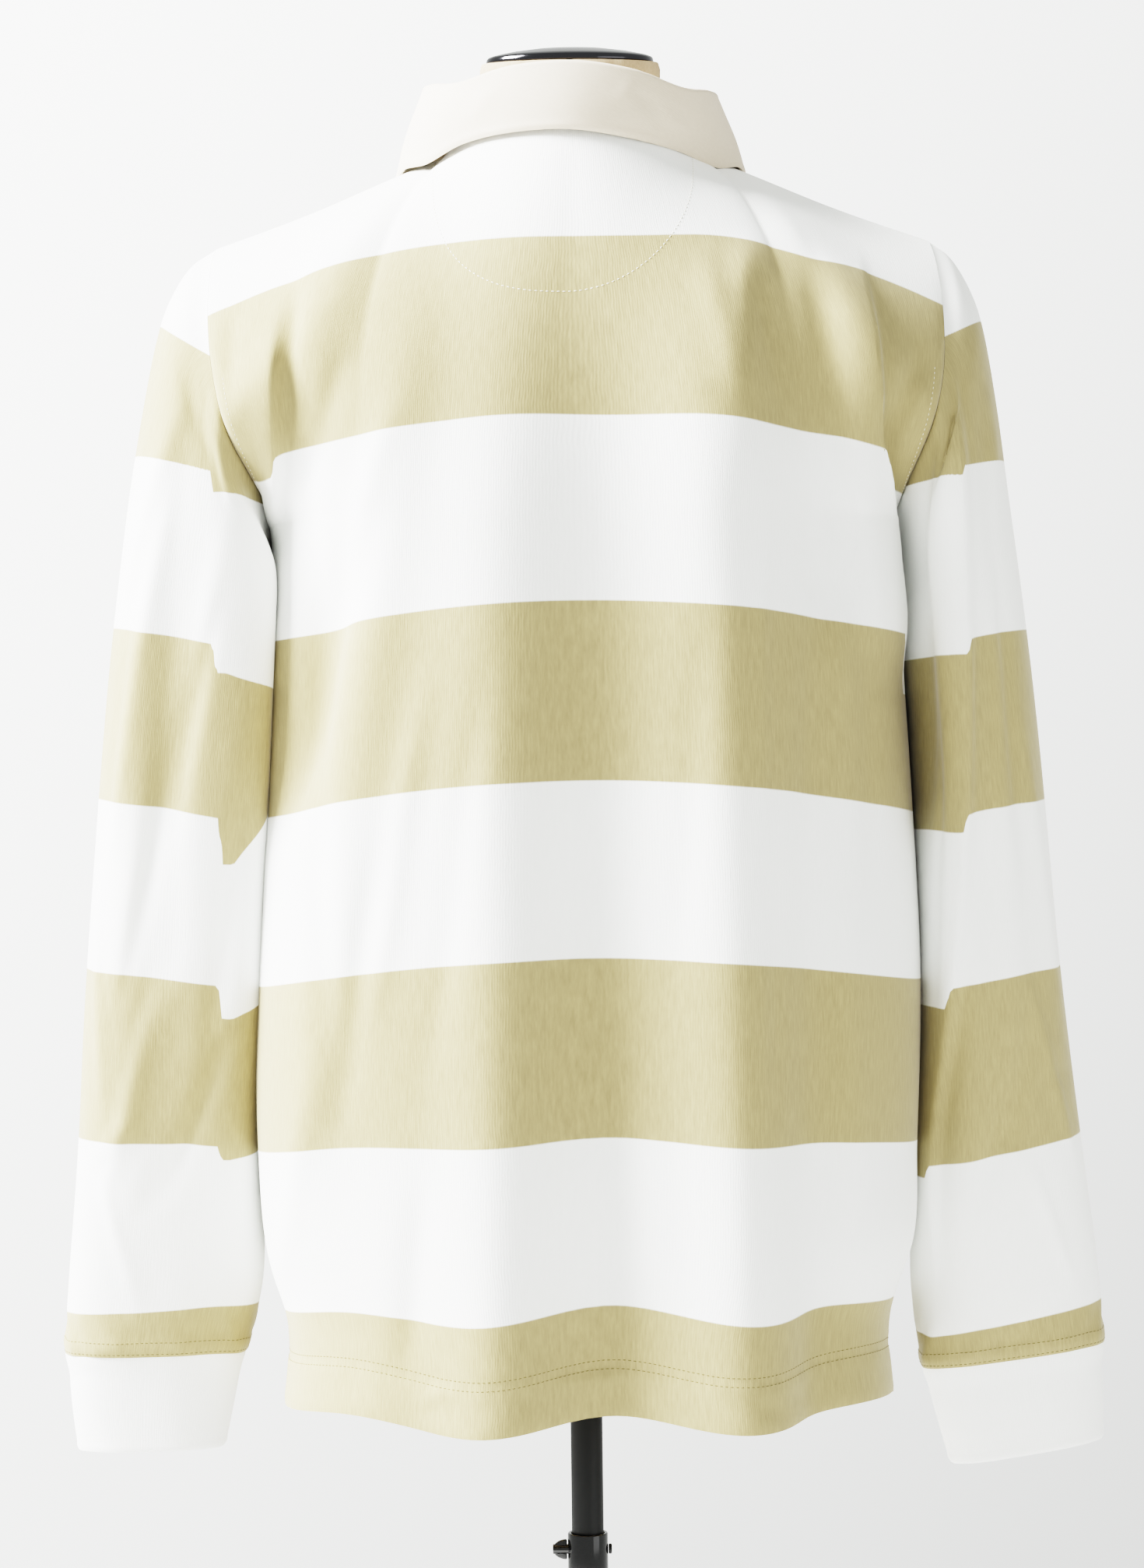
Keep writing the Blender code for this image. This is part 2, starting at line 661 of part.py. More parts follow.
def panel_grid(face):
    """A whole panel's points, held off its neighbours at the seams, and its normals."""
    shares = shares_across(face)
    levels = panel_levels()
    share, level = np.meshgrid(shares, levels)
    points, _ = panel(share, level, face)
    order = 1 if face < 0 else -1
    normals = grid_normals(points) * order
    rise = levels[BODY_ROWS:] - 1
    for cell, side in ((0, -1), (-1, 1)):
        seam = armhole_normal(armhole_number(rise, face), side)
        rows = slice(BODY_ROWS, None)
        set_normals(normals, rows, cell, seam)
        inside = 1 if cell == 0 else -2
        set_normals(normals, rows, inside, seam, SEAM_BLEND)
        points[: BODY_ROWS + 1, cell, 1] += face * SEAM_GAP / 2
        side_way = unit(stacked(side, 0, 0)) + np.zeros((BODY_ROWS, 3))
        set_normals(normals, slice(0, BODY_ROWS), cell, side_way)
    at_neck = np.abs(shares) <= NECK_SHARE + 1e-9
    set_normals(normals, -1, at_neck, neck_normal(points[-1, at_neck]))
    off_neck = np.abs(shares) >= NECK_SHARE - 1e-9
    points[-1, off_neck, 1] += face * SEAM_GAP / 2
    shoulder_way = unit(stacked(SHOULDER_LEAN * np.sign(shares[off_neck]), 0, 1))
    set_normals(normals, -1, off_neck, shoulder_way)
    return points, normals


def make_panels(figure):
    back, back_normals = panel_grid(-1)
    add_cloth("back_panel", back, back_normals, "jersey", figure)
    front, front_normals = panel_grid(1)
    middle = (front.shape[1] - 1) // 2
    slot = {(row, middle) for row in range(BODY_ROWS, BODY_ROWS + ARMHOLE_ROWS)}
    mirrored = front[:, ::-1]
    add_cloth(
        "front_panel", mirrored, front_normals[:, ::-1], "jersey", figure, left_out=slot
    )


# ---------------------------------------------------------------- sleeves and cuffs


def sleeve_ring(rings, place, turn):
    """A point of a hanging sleeve: place counts the table's rows, turn goes round it."""
    rows = np.arange(len(rings))
    read = {name: through(rows, column(rings, name), place) for name in rings[0]._fields}
    power = 2 / SLEEVE_ROUNDNESS
    out = np.sign(np.cos(turn)) * np.abs(np.cos(turn)) ** power
    back = np.sign(np.sin(turn)) * np.abs(np.sin(turn)) ** power
    x = (read["outer_x"] + read["inner_x"]) / 2 + out * (read["outer_x"] - read["inner_x"]) / 2
    z = (read["outer_z"] + read["inner_z"]) / 2 + out * (read["outer_z"] - read["inner_z"]) / 2
    y = read["middle_y"] - back * read["depth"] / 2
    return stacked(x, y, z)


def sleeve_fold_height(turn, z, folds):
    total = np.zeros_like(turn)
    for fold in folds:
        run = (fold.top_z - z) / (fold.top_z - fold.foot_z)
        crest = math.radians(fold.turn) + run * math.radians(fold.foot_turn - fold.turn)
        off = (turn - crest + math.pi) % (2 * math.pi) - math.pi
        fade = ease(*SLEEVE_FOLD_RISE, run) * (1 - ease(*SLEEVE_FOLD_FALL, run))
        total += fold.height * fade * np.exp(-((off / math.radians(fold.half_turn)) ** 2))
    return total


def sleeve_grid(side, rings, folds, rows, from_armhole):
    """A sleeve's or a cuff's rings from top to bottom, for the side of that sign."""
    numbers = np.arange(SLEEVE_CELLS) * len(ARMHOLE) / SLEEVE_CELLS
    turn = numbers * 2 * math.pi / len(ARMHOLE)
    places = np.linspace(0, 1, rows + 1) * (len(rings) - 1)
    turns, place = np.meshgrid(turn, places)
    points = sleeve_ring(rings, place, turns)
    points[..., 0] *= side
    if from_armhole:
        seam = armhole_point(numbers, side)
        keep = 1 - ease(0, SLEEVE_BLEND, place)
        points += keep[..., None] * (seam - points[0])
    normals = grid_normals(points, wrap=True) * side
    depth = sleeve_fold_height(turns, points[..., 2], folds)
    fade = ease(0, SLEEVE_FOLD_MARGIN, place) if from_armhole else 1.0
    points += normals * (depth * fade)[..., None]
    return points, grid_normals(points, wrap=True) * side


def add_ring_piece(name, points, normals, side, finish, figure):
    """A tube of cloth from rings that run from top to bottom."""
    if side < 0:
        points, normals = points[::-1], normals[::-1]
    add_cloth(name, points, normals, finish, figure, wrap=True)


def make_sleeve(side, rings, cuff_rings, folds, figure):
    word = "right" if side > 0 else "left"
    points, normals = sleeve_grid(side, rings, folds, SLEEVE_ROWS, True)
    numbers = np.arange(SLEEVE_CELLS) * len(ARMHOLE) / SLEEVE_CELLS
    seam = armhole_normal(numbers, side)
    every = slice(None)
    set_normals(normals, 0, every, seam)
    set_normals(normals, 1, every, seam, SEAM_BLEND)
    points[0, :, 0] += side * ARMHOLE_GAP
    cuff, cuff_normals = sleeve_grid(side, cuff_rings, folds, CUFF_ROWS, False)
    shared = unit(normals[-1] + cuff_normals[0])
    set_normals(normals, -1, every, shared)
    set_normals(cuff_normals, 0, every, shared)
    cuff[0] = points[-1] - [0, 0, SEAM_GAP]
    add_ring_piece(f"sleeve_{word}", points, normals, side, "jersey", figure)
    add_ring_piece(f"cuff_{word}", cuff, cuff_normals, side, "jersey_white", figure)


# ---------------------------------------------------------------- collar


def collar_base():
    """The neckline's points from its front slot round the back, and each one's turn."""
    back_share = shares_across(-1)
    front_share = shares_across(1)
    back = back_share[np.abs(back_share) <= NECK_SHARE + 1e-9]
    front = front_share[(front_share > 0) & (front_share <= NECK_SHARE + 1e-9)]
    back_turn = back / NECK_SHARE * 90
    front_turn = 180 - front / NECK_SHARE * 90
    right = top_point(front[::-1], 1)[1:]
    left = right[::-1] * [-1, 1, 1]
    points = np.concatenate([left, top_point(back, -1), right])
    turn = np.concatenate([-front_turn[::-1][1:][::-1], back_turn, front_turn[::-1][1:]])
    return points, turn


def collar_curve(turn, name):
    """A column of the collar's table read at turns on either side of the back's middle."""
    return through(column(COLLAR, "turn"), column(COLLAR, name), np.abs(turn))


def make_collar(figure):
    """One folded strip: up from the neckline, over the roll and down to the lower edge."""
    base, turn = collar_base()
    away = neck_normal(base)
    side = np.sign(turn)
    roll = stacked(*(collar_curve(turn, f"roll_{axis}") for axis in "xyz"))
    edge = stacked(*(collar_curve(turn, f"edge_{axis}") for axis in "xyz"))
    roll[:, 0] *= side
    roll[:, 2] -= COLLAR_TILT * np.sin(np.radians(turn))
    edge[:, 0] *= side
    lean = np.where(np.abs(turn) < 90, np.sin(np.radians(2 * turn)), 0)
    edge[:, 2] -= COLLAR_EDGE_TILT * lean
    inner_start = base - away * WALL + [0, 0, NECK_SEAM_GAP]
    crown = roll - [0, 0, COLLAR_ROLL]
    inner_end = crown - away * COLLAR_ROLL
    rows = []
    for step in range(COLLAR_STAND_STEPS):
        rows.append(inner_start + (inner_end - inner_start) * step / COLLAR_STAND_STEPS)
    for step in range(COLLAR_ROLL_STEPS + 1):
        angle = math.pi * step / COLLAR_ROLL_STEPS
        out, up = -math.cos(angle), math.sin(angle)
        rows.append(crown + COLLAR_ROLL * (out * away + [0, 0, up]))
    leaf_start = rows[-1]
    for step in range(1, COLLAR_LEAF_STEPS + 1):
        share = step / COLLAR_LEAF_STEPS
        bow = COLLAR_BOW * math.sin(math.pi * share)
        rows.append(leaf_start + (edge - leaf_start) * share + away * bow)
    points = np.array(rows)
    normals = -grid_normals(points)
    set_normals(normals, 0, slice(None), -away)
    add_cloth("collar", points[:, ::-1], normals[:, ::-1], "twill", figure, COLLAR_WALL)


# ---------------------------------------------------------------- placket and buttons


def level_at_height(height):
    """The level of the front panel's middle at a height, found by halving."""
    low, high = 0.5, 2.0
    for _ in range(40):
        middle = (low + high) / 2
        if panel(np.array(0.0), np.array(middle), 1)[0][2] < height:
            low = middle
        else:
            high = middle
    return (low + high) / 2


def placket_strip(name, foot, top, stand_off, figure):
    """A strip down the front's middle, made from the panel's points moved out or in."""
    levels = np.linspace(level_at_height(foot), level_at_height(top), PLACKET_ROWS + 1)
    across = np.linspace(-1, 1, PLACKET_CELLS + 1) * PLACKET_HALF_WIDTH
    shares = np.linspace(-PLACKET_SHARE, PLACKET_SHARE, 41)
    rows = []
    for level in levels:
        xs = panel(shares, np.full_like(shares, level), 1)[0][:, 0]
        picked = np.interp(across, xs, shares)
        points, normals = panel(picked, np.full_like(picked, level), 1)
        rows.append(points + normals * stand_off)
    points = np.array(rows)[:, ::-1]
    add_cloth(name, points, grid_normals(points), "twill", figure)


def make_button(number, height, figure):
    """A dished button that lies on the placket, square to its surface."""
    level = np.array(level_at_height(height))
    point, normal = panel(np.array(0.0), level, 1)
    profile = (
        (BUTTON_MIDDLE_RADIUS, BUTTON_DEPTH - BUTTON_DISH_DEPTH),
        (BUTTON_DISH_RADIUS - BUTTON_EDGE, BUTTON_DEPTH - BUTTON_DISH_DEPTH),
        (BUTTON_DISH_RADIUS, BUTTON_DEPTH),
        (BUTTON_RADIUS - BUTTON_EDGE, BUTTON_DEPTH),
        (BUTTON_RADIUS, BUTTON_DEPTH - BUTTON_EDGE),
        (BUTTON_RADIUS, BUTTON_EDGE),
        (BUTTON_RADIUS - BUTTON_EDGE, 0.0),
    )
    button = add_turned(f"button_{number}", profile, BUTTON_SIDES, "button", None)
    stand_off = WALL + PLACKET_GAP + BUTTON_GAP
    button.rotation_euler = (-math.atan2(normal[1], normal[2]), 0, 0)
    button.location = (point + normal * stand_off) / METRE
    button.parent = figure


# ---------------------------------------------------------------- dress form


def make_form(figure):
    rings = []
    power_turn = 2 * math.pi * np.arange(FORM_CELLS) / FORM_CELLS
    for ring in FORM_RINGS:
        power = 2 / ring.roundness
        cosine, sine = np.cos(power_turn), np.sin(power_turn)
        x = ring.half_width * np.sign(cosine) * np.abs(cosine) ** power
        reach = np.where(sine < 0, ring.back, ring.front)
        y = reach * np.sign(sine) * np.abs(sine) ** power
        slope = NECK_SLANT * y if ring is FORM_RINGS[-1] else 0.0
        rings.append(stacked(x, y, ring.height + slope))
    points = np.concatenate(rings)
    count = len(FORM_RINGS)
    faces = []
    for ring in range(count - 1):
        for side in range(FORM_CELLS):
            following = (side + 1) % FORM_CELLS
            faces.append(
                (
                    ring * FORM_CELLS + side,
                    ring * FORM_CELLS + following,
                    (ring + 1) * FORM_CELLS + following,
                    (ring + 1) * FORM_CELLS + side,
                )
            )
    faces.append(tuple(reversed(range(FORM_CELLS))))
    faces.append(tuple((count - 1) * FORM_CELLS + side for side in range(FORM_CELLS)))
    add_object("form_torso", points, faces, "linen", figure)
    cap_foot = FORM_RINGS[-1].height + SEAM_GAP
    profile = [(point.radius, cap_foot + point.rise) for point in CAP_PROFILE]
    cap = add_turned("neck_cap", profile, CAP_SIDES, "chrome", figure)
    for vertex in cap.data.vertices:
        vertex.co.y = vertex.co.y * CAP_DEPTH_SHARE + CAP_MIDDLE_Y / METRE
        vertex.co.z += NECK_SLANT * vertex.co.y
    socket_top = FORM_RINGS[0].height - SEAM_GAP
    add_tube(
        "form_socket", SOCKET_RADIUS, BORE_RADIUS, SOCKET_FOOT, socket_top, "black_metal", figure
    )


# ---------------------------------------------------------------- stand


def make_post(mast):
    top = FORM_RINGS[0].height - SEAM_GAP
    profile = ((POST_RADIUS, top), (POST_RADIUS, POST_FOOT))
    add_turned("post", profile, TUBE_SIDES, "black_metal", mast)


def make_clamp():
    """The sleeve on top of the outer tube, with a hole for its screw."""
    sleeve = add_tube(
        "clamp_sleeve", CLAMP_RADIUS, BORE_RADIUS, CLAMP_FOOT, CLAMP_TOP, "black_gloss", None
    )
    place = (0, 0, SCREW_HEIGHT)
    profile = [(SCREW_HOLE_RADIUS, x) for x in SCREW_HOLE_REACH]
    cutter = add_turned("screw_hole", profile, SCREW_SIDES, "black_metal", None, "X", place)
    cutter.hide_render = True
    cutter.display_type = "WIRE"
    cut = sleeve.modifiers.new("screw hole", "BOOLEAN")
    cut.operation = "DIFFERENCE"
    cut.object = cutter
    profile = (
        (SCREW_RADIUS, CLAMP_RADIUS + SEAM_GAP + SCREW_END_LENGTH),
        (SCREW_RADIUS, CLAMP_RADIUS + SEAM_GAP),
    )
    add_turned("clamp_rivet", profile, SCREW_SIDES, "black_metal", None, "X", place)


def make_wing_screw(turning):
    """A screw along X whose flat wings stand up and down at rest."""
    profile = (
        (SCREW_RADIUS, -(POST_RADIUS + SEAM_GAP)),
        (SCREW_RADIUS, -WING_START),
        (HUB_RADIUS, -WING_START),
        (HUB_RADIUS, -WING_END + HUB_EDGE),
        (HUB_RADIUS - HUB_EDGE, -WING_END),
    )
    place = (0, 0, SCREW_HEIGHT)
    screw = add_turned("wing_screw", profile, SCREW_SIDES, "black_gloss", turning, "X", place)
    half = WING_THICKNESS / 2
    outline = (
        (-WING_START, 0.0),
        (-WING_START - 1.0, WING_SPAN),
        (-WING_END + 1.5, WING_SPAN),
        (-WING_END + 0.4, WING_SPAN - 1.2),
        (-WING_END + 0.4, 0.0),
    )
    ring = outline + tuple((x, -up) for x, up in outline[-2:0:-1])
    points = [(x, -half, SCREW_HEIGHT + up) for x, up in ring]
    points += [(x, half, SCREW_HEIGHT + up) for x, up in ring]
    count = len(ring)
    faces = [tuple(range(count)), tuple(reversed(range(count, 2 * count)))]
    for k in range(count):
        following = (k + 1) % count
        faces.append((following, k, count + k, count + following))
    wings = add_object("wings", points, faces, "black_gloss", turning)
    wings.hide_render = True
    wings.display_type = "WIRE"
    join = screw.modifiers.new("wings", "BOOLEAN")
    join.operation = "UNION"
    join.object = wings


def make_foot():
    add_tube(
        "outer_tube",
        TUBE_RADIUS,
        BORE_RADIUS,
        FOOT_THICKNESS + SEAM_GAP,
        CLAMP_FOOT - SEAM_GAP,
        "black_metal",
        None,
    )
    profile = (
        (FOOT_RADIUS - FOOT_EDGE, FOOT_THICKNESS),
        (FOOT_RADIUS, FOOT_THICKNESS - FOOT_EDGE),
        (FOOT_RADIUS, 0.0),
    )
    add_turned("base_plate", profile, FOOT_SIDES, "black_metal", None)
    add_tube(
        "base_boss",
        BOSS_RADIUS,
        TUBE_RADIUS + SEAM_GAP,
        FOOT_THICKNESS + SEAM_GAP,
        BOSS_HEIGHT,
        "black_metal",
        None,
    )


def add_empty(name, place=(0, 0, 0), parent=None):
    empty = bpy.data.objects.new(name, None)
    bpy.context.scene.collection.objects.link(empty)
    empty.location = [value / METRE for value in place]
    empty.parent = parent
    return empty


def main():
    for obj in list(bpy.data.objects):
        bpy.data.objects.remove(obj, do_unlink=True)
    mast = add_empty("height_axis")
    figure = add_empty("turn_axis", parent=mast)
    screw_turn = add_empty("screw_axis", (0, 0, SCREW_HEIGHT))
    make_panels(figure)
    make_sleeve(-1, LEFT_SLEEVE, LEFT_CUFF, LEFT_SLEEVE_FOLDS, figure)
    make_sleeve(1, RIGHT_SLEEVE, RIGHT_CUFF, RIGHT_SLEEVE_FOLDS, figure)
    make_collar(figure)
    stand_off = WALL + PLACKET_GAP
    placket_strip("placket_top", PLACKET_FOOT, PLACKET_TOP, stand_off, figure)
    placket_strip("placket_under", UNDER_STRIP_FOOT, PLACKET_TOP, -stand_off, figure)
    for number, height in enumerate(BUTTON_HEIGHTS, 1):
        make_button(number, height, figure)
    make_form(figure)
    make_post(mast)
    make_clamp()
    make_wing_screw(screw_turn)
    make_foot()


main()
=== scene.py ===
"""The looks of a long-sleeve polo shirt that a limbless dress form wears, seen from its back.

Tables and driving sizes are in millimetres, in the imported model's frame: +Z is up and the
shirt's back faces -Y. Meshes and materials are in metres. Each piece of cloth is a fine
grid of points over its sheet, with a wall laid behind it.
"""

from __future__ import annotations

import logging
import math
from dataclasses import dataclass, field, replace
from enum import Enum
from typing import Callable, NamedTuple, Sequence

import bmesh
import bpy
import numpy as np
from mathutils import Matrix, Vector
from mathutils.bvhtree import BVHTree


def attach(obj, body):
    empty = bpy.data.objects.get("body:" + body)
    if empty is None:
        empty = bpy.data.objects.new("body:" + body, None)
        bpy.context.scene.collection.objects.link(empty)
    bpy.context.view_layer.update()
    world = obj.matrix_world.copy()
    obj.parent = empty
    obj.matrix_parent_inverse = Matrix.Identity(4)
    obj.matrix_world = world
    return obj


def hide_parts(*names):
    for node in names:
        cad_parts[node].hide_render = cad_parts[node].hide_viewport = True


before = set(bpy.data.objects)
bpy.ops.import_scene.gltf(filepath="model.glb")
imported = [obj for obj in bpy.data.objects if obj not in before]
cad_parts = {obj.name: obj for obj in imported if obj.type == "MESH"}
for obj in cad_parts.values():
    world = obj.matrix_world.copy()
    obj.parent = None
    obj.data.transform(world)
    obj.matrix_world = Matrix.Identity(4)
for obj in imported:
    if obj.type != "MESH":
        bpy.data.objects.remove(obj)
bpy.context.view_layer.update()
LOG = logging.getLogger("polo_shirt")

Array = np.ndarray
MM = 0.001
FIGURE = "figure"
MAST = "mast"
STAND = "stand"
CLAMP_SCREW = "clamp_screw"


class Side(Enum):
    """The two sides of the shirt, by the sign of X."""

    LEFT = -1
    RIGHT = 1


class Face(Enum):
    """The two panels of the body, by the sign of Y."""

    BACK = -1
    FRONT = 1


class Edge(Enum):
    """The edges of a grid of cloth."""

    FIRST_ROW = "first row"
    LAST_ROW = "last row"
    FIRST_COLUMN = "first column"
    LAST_COLUMN = "last column"


# ---------------------------------------------------------------- curves


def column(table: Sequence[NamedTuple], name: str) -> Array:
    """One named column of a table, as an array."""
    return np.array([getattr(row, name) for row in table], float)


def through(knots: Array, values: Array, at: Array) -> Array:
    """A smooth curve through values at rising knots.

    Args:
        knots: Rising places of the values.
        values: What the curve passes through.
        at: Places to read it at; past the ends it stays level.

    Returns:
        The curve's values at those places.
    """
    knots = np.asarray(knots, float)
    values = np.asarray(values, float)
    slopes = np.gradient(values, knots)
    at = np.clip(at, knots[0], knots[-1])
    i = np.clip(np.searchsorted(knots, at, side="right") - 1, 0, len(knots) - 2)
    span = knots[i + 1] - knots[i]
    t = (at - knots[i]) / span
    rise = values[i + 1] - values[i]
    bend_start = slopes[i] * span - rise
    bend_end = rise - slopes[i + 1] * span
    return values[i] + t * rise + t * (1 - t) * ((1 - t) * bend_start + t * bend_end)


def round_loop(values: Array, at: Array) -> Array:
    """A smooth closed curve through evenly numbered values, read at numbers round it."""
    count = len(values)
    whole = np.floor(at).astype(int)
    t = at - whole
    before, start, end, after = (values[(whole + k) % count] for k in (-1, 0, 1, 2))
    rise = end - start
    start_bend = (end - before) / 2 - rise
    end_bend = rise - (after - start) / 2
    return start + t * rise + t * (1 - t) * ((1 - t) * start_bend + t * end_bend)


def ease(low: float, high: float, value: Array) -> Array:
    """0 below low and 1 above high, with a smooth rise between."""
    t = np.clip((value - low) / (high - low), 0, 1)
    return t * t * (3 - 2 * t)


def hump(value: Array, middle: float, width: Array) -> Array:
    """1 where the value is at the middle, and a smooth fall to nothing on both sides."""
    return np.exp(-(((value - middle) / width) ** 2))


def unit(vectors: Array) -> Array:
    """The vectors at length one."""
    return vectors / np.maximum(np.linalg.norm(vectors, axis=-1, keepdims=True), 1e-12)


def stacked(x: Array, y: Array, z: Array) -> Array:
    """Points from their three coordinates, broadcast together."""
    return np.stack(np.broadcast_arrays(x, y, z), axis=-1).astype(float)


def unevenness(a: Array, b: Array, seed: float) -> Array:
    """A smooth wandering value in -1 to 1 over two coordinates, with no repeat in sight."""
    first = np.sin(1.00 * a + 0.31 * b + seed) + np.sin(0.43 * a - 0.77 * b + 2.1 * seed)
    second = np.sin(1.71 * a + 1.13 * b + 3.7 * seed) + np.sin(-0.87 * a + 1.9 * b + 5.3 * seed)
    return (first + 0.6 * second) / 3.2


# ---------------------------------------------------------------- tables' rows


class BodyRing(NamedTuple):
    """Half-widths of the body to the left and right, and its reach, at a height."""

    height: float
    left: float
    right: float
    back: float
    front: float


class YokePoint(NamedTuple):
    """How the panel's columns at a share of the width run over the shoulder."""

    share: float
    start: float
    reach: float
    forward: float
    upward: float
    inward: float


class ArmholePoint(NamedTuple):
    """A point of the armhole seam."""

    left_x: float
    right_x: float
    y: float
    height: float


class Fold(NamedTuple):
    """A soft fold down a panel: its crest's ends, its width and its height at each end."""

    top_x: float
    top_z: float
    foot_x: float
    foot_z: float
    half_width: float
    top_height: float
    foot_height: float


class Edging(NamedTuple):
    """A fold with one soft and one steep side, where the cloth tucks under itself.

    Its crest runs from top to foot, steep on the side that steep_way's sign gives along X.
    Stripes slip down on the side away from the body's middle.
    """

    top_x: float
    top_z: float
    foot_x: float
    foot_z: float
    soft_width: float
    steep_width: float
    height: float
    top_slip: float
    foot_slip: float
    steep_way: float


class Crease(NamedTuple):
    """A short soft ridge, or below zero a trough, at a place on the cloth."""

    across: float
    z: float
    lean: float
    length: float
    half_width: float
    height: float


class SleeveRing(NamedTuple):
    """A ring of the sleeve: its outer and inner edge, its depth and its middle."""

    outer_x: float
    outer_z: float
    inner_x: float
    inner_z: float
    depth: float
    middle_y: float


class SleeveFold(NamedTuple):
    """A fold down the sleeve, by its turn: 0 is the outer edge, 90 the back."""

    turn: float
    top_z: float
    foot_turn: float
    foot_z: float
    half_turn: float
    height: float


class StripeRun(NamedTuple):
    """How a stripe's edge runs across the sleeve's back.

    It starts on the outer edge at a height, leans down to the fold, steps down past it by
    one amount and reaches the inner edge lower than the fold by another.
    """

    level: float
    outer_z: float
    lean: float
    step: float
    end: float


class SleeveTuck(NamedTuple):
    """The crest of the sleeve's main fold, and its widths on its outer and inner side.

    shift is how far the crest lies past the fold's line, towards the body.
    """

    height: float
    shift: float
    outer_width: float
    inner_width: float


class FoldPlace(NamedTuple):
    """How far from the middle the sleeve's main fold is, at a height."""

    height: float
    reach: float


class CollarPoint(NamedTuple):
    """The collar at a turn from the middle of the back: its roll and its lower edge."""

    turn: float
    roll_x: float
    roll_y: float
    roll_z: float
    edge_x: float
    edge_y: float
    edge_z: float


class FormRing(NamedTuple):
    """A ring of the dress form's torso."""

    height: float
    half_width: float
    back: float
    front: float
    roundness: float


# ---------------------------------------------------------------- materials


def linear(red: float, green: float, blue: float) -> tuple[float, float, float, float]:
    """A colour given as screen values of 0 to 255, as linear light with full alpha."""
    shares = [value / 255 for value in (red, green, blue)]
    return (*((s / 12.92 if s <= 0.04 else ((s + 0.055) / 1.055) ** 2.4) for s in shares), 1.0)


class Nodes:
    """A short way to add and join nodes in one tree."""

    def __init__(self, tree: bpy.types.NodeTree) -> None:
        """Takes the tree that nodes are added to."""
        self.tree = tree

    def add(self, kind: str, inputs: dict | None = None, **settings: object) -> bpy.types.Node:
        """Adds a node.

        Args:
            kind: Blender's name for the node type.
            inputs: Values or output sockets by input name or number.
            settings: The node's own properties.

        Returns:
            The new node.
        """
        node = self.tree.nodes.new(kind)
        for name, value in settings.items():
            setattr(node, name, value)
        for name, value in (inputs or {}).items():
            self.give(node.inputs[name], value)
        return node

    def give(self, socket: bpy.types.NodeSocket, value: object) -> None:
        """Joins a socket to another, or sets its value."""
        if isinstance(value, bpy.types.NodeSocket):
            self.tree.links.new(value, socket)
        else:
            socket.default_value = value

    def math(self, operation: str, *values: object) -> bpy.types.NodeSocket:
        """The result of a Math node on values or sockets."""
        node = self.add("ShaderNodeMath", dict(enumerate(values)), operation=operation)
        return node.outputs[0]

    def mix(
        self, factor: object, first: object, second: object, blend: str = "MIX"
    ) -> bpy.types.NodeSocket:
        """A mix of two colours by a factor."""
        inputs = {0: factor, 6: first, 7: second}
        return self.add("ShaderNodeMix", inputs, data_type="RGBA", blend_type=blend).outputs[2]

    def feed(self, shader: bpy.types.Node, **inputs: object) -> None:
        """Sets or feeds a shader's inputs, named with _ for each space."""
        for label, value in inputs.items():
            self.give(shader.inputs[label.replace("_", " ")], value)

    def bump(self, strength: float, distance: float, height: object) -> bpy.types.NodeSocket:
        """A relief's effect on the light, from its height."""
        values = {"Strength": strength, "Distance": distance, "Height": height}
        return self.add("ShaderNodeBump", values).outputs[0]


class EffectGroup:
    """A shader node group that is built once and placed in each material that needs it."""

    name = ""
    inputs: tuple[tuple[str, str, float], ...] = ()
    outputs: tuple[str, ...] = ()

    def tree(self) -> bpy.types.NodeTree:
        """The group's tree, built at its first use."""
        found = bpy.data.node_groups.get(self.name)
        if found:
            return found
        tree = bpy.data.node_groups.new(self.name, "ShaderNodeTree")
        for label, kind, value in self.inputs:
            socket = tree.interface.new_socket(label, in_out="INPUT", socket_type=kind)
            if kind == "NodeSocketFloat":
                socket.default_value = value
        for label in self.outputs:
            tree.interface.new_socket(label, in_out="OUTPUT", socket_type="NodeSocketFloat")
        nodes = Nodes(tree)
        entry = nodes.add("NodeGroupInput")
        results = self.build(nodes, entry.outputs)
        leave = nodes.add("NodeGroupOutput")
        for label, result in zip(self.outputs, results):
            tree.links.new(result, leave.inputs[label])
        return tree

    def build(self, nodes: Nodes, given: bpy.types.NodeOutputs) -> tuple[bpy.types.NodeSocket, ...]:
        """Makes the group's nodes and gives its outputs in order."""
        raise NotImplementedError

    def place(self, nodes: Nodes, **inputs: object) -> bpy.types.Node:
        """Places the group in a material's tree, with values by input name."""
        values = {label.replace("_", " "): value for label, value in inputs.items()}
        return nodes.add("ShaderNodeGroup", values, node_tree=self.tree())


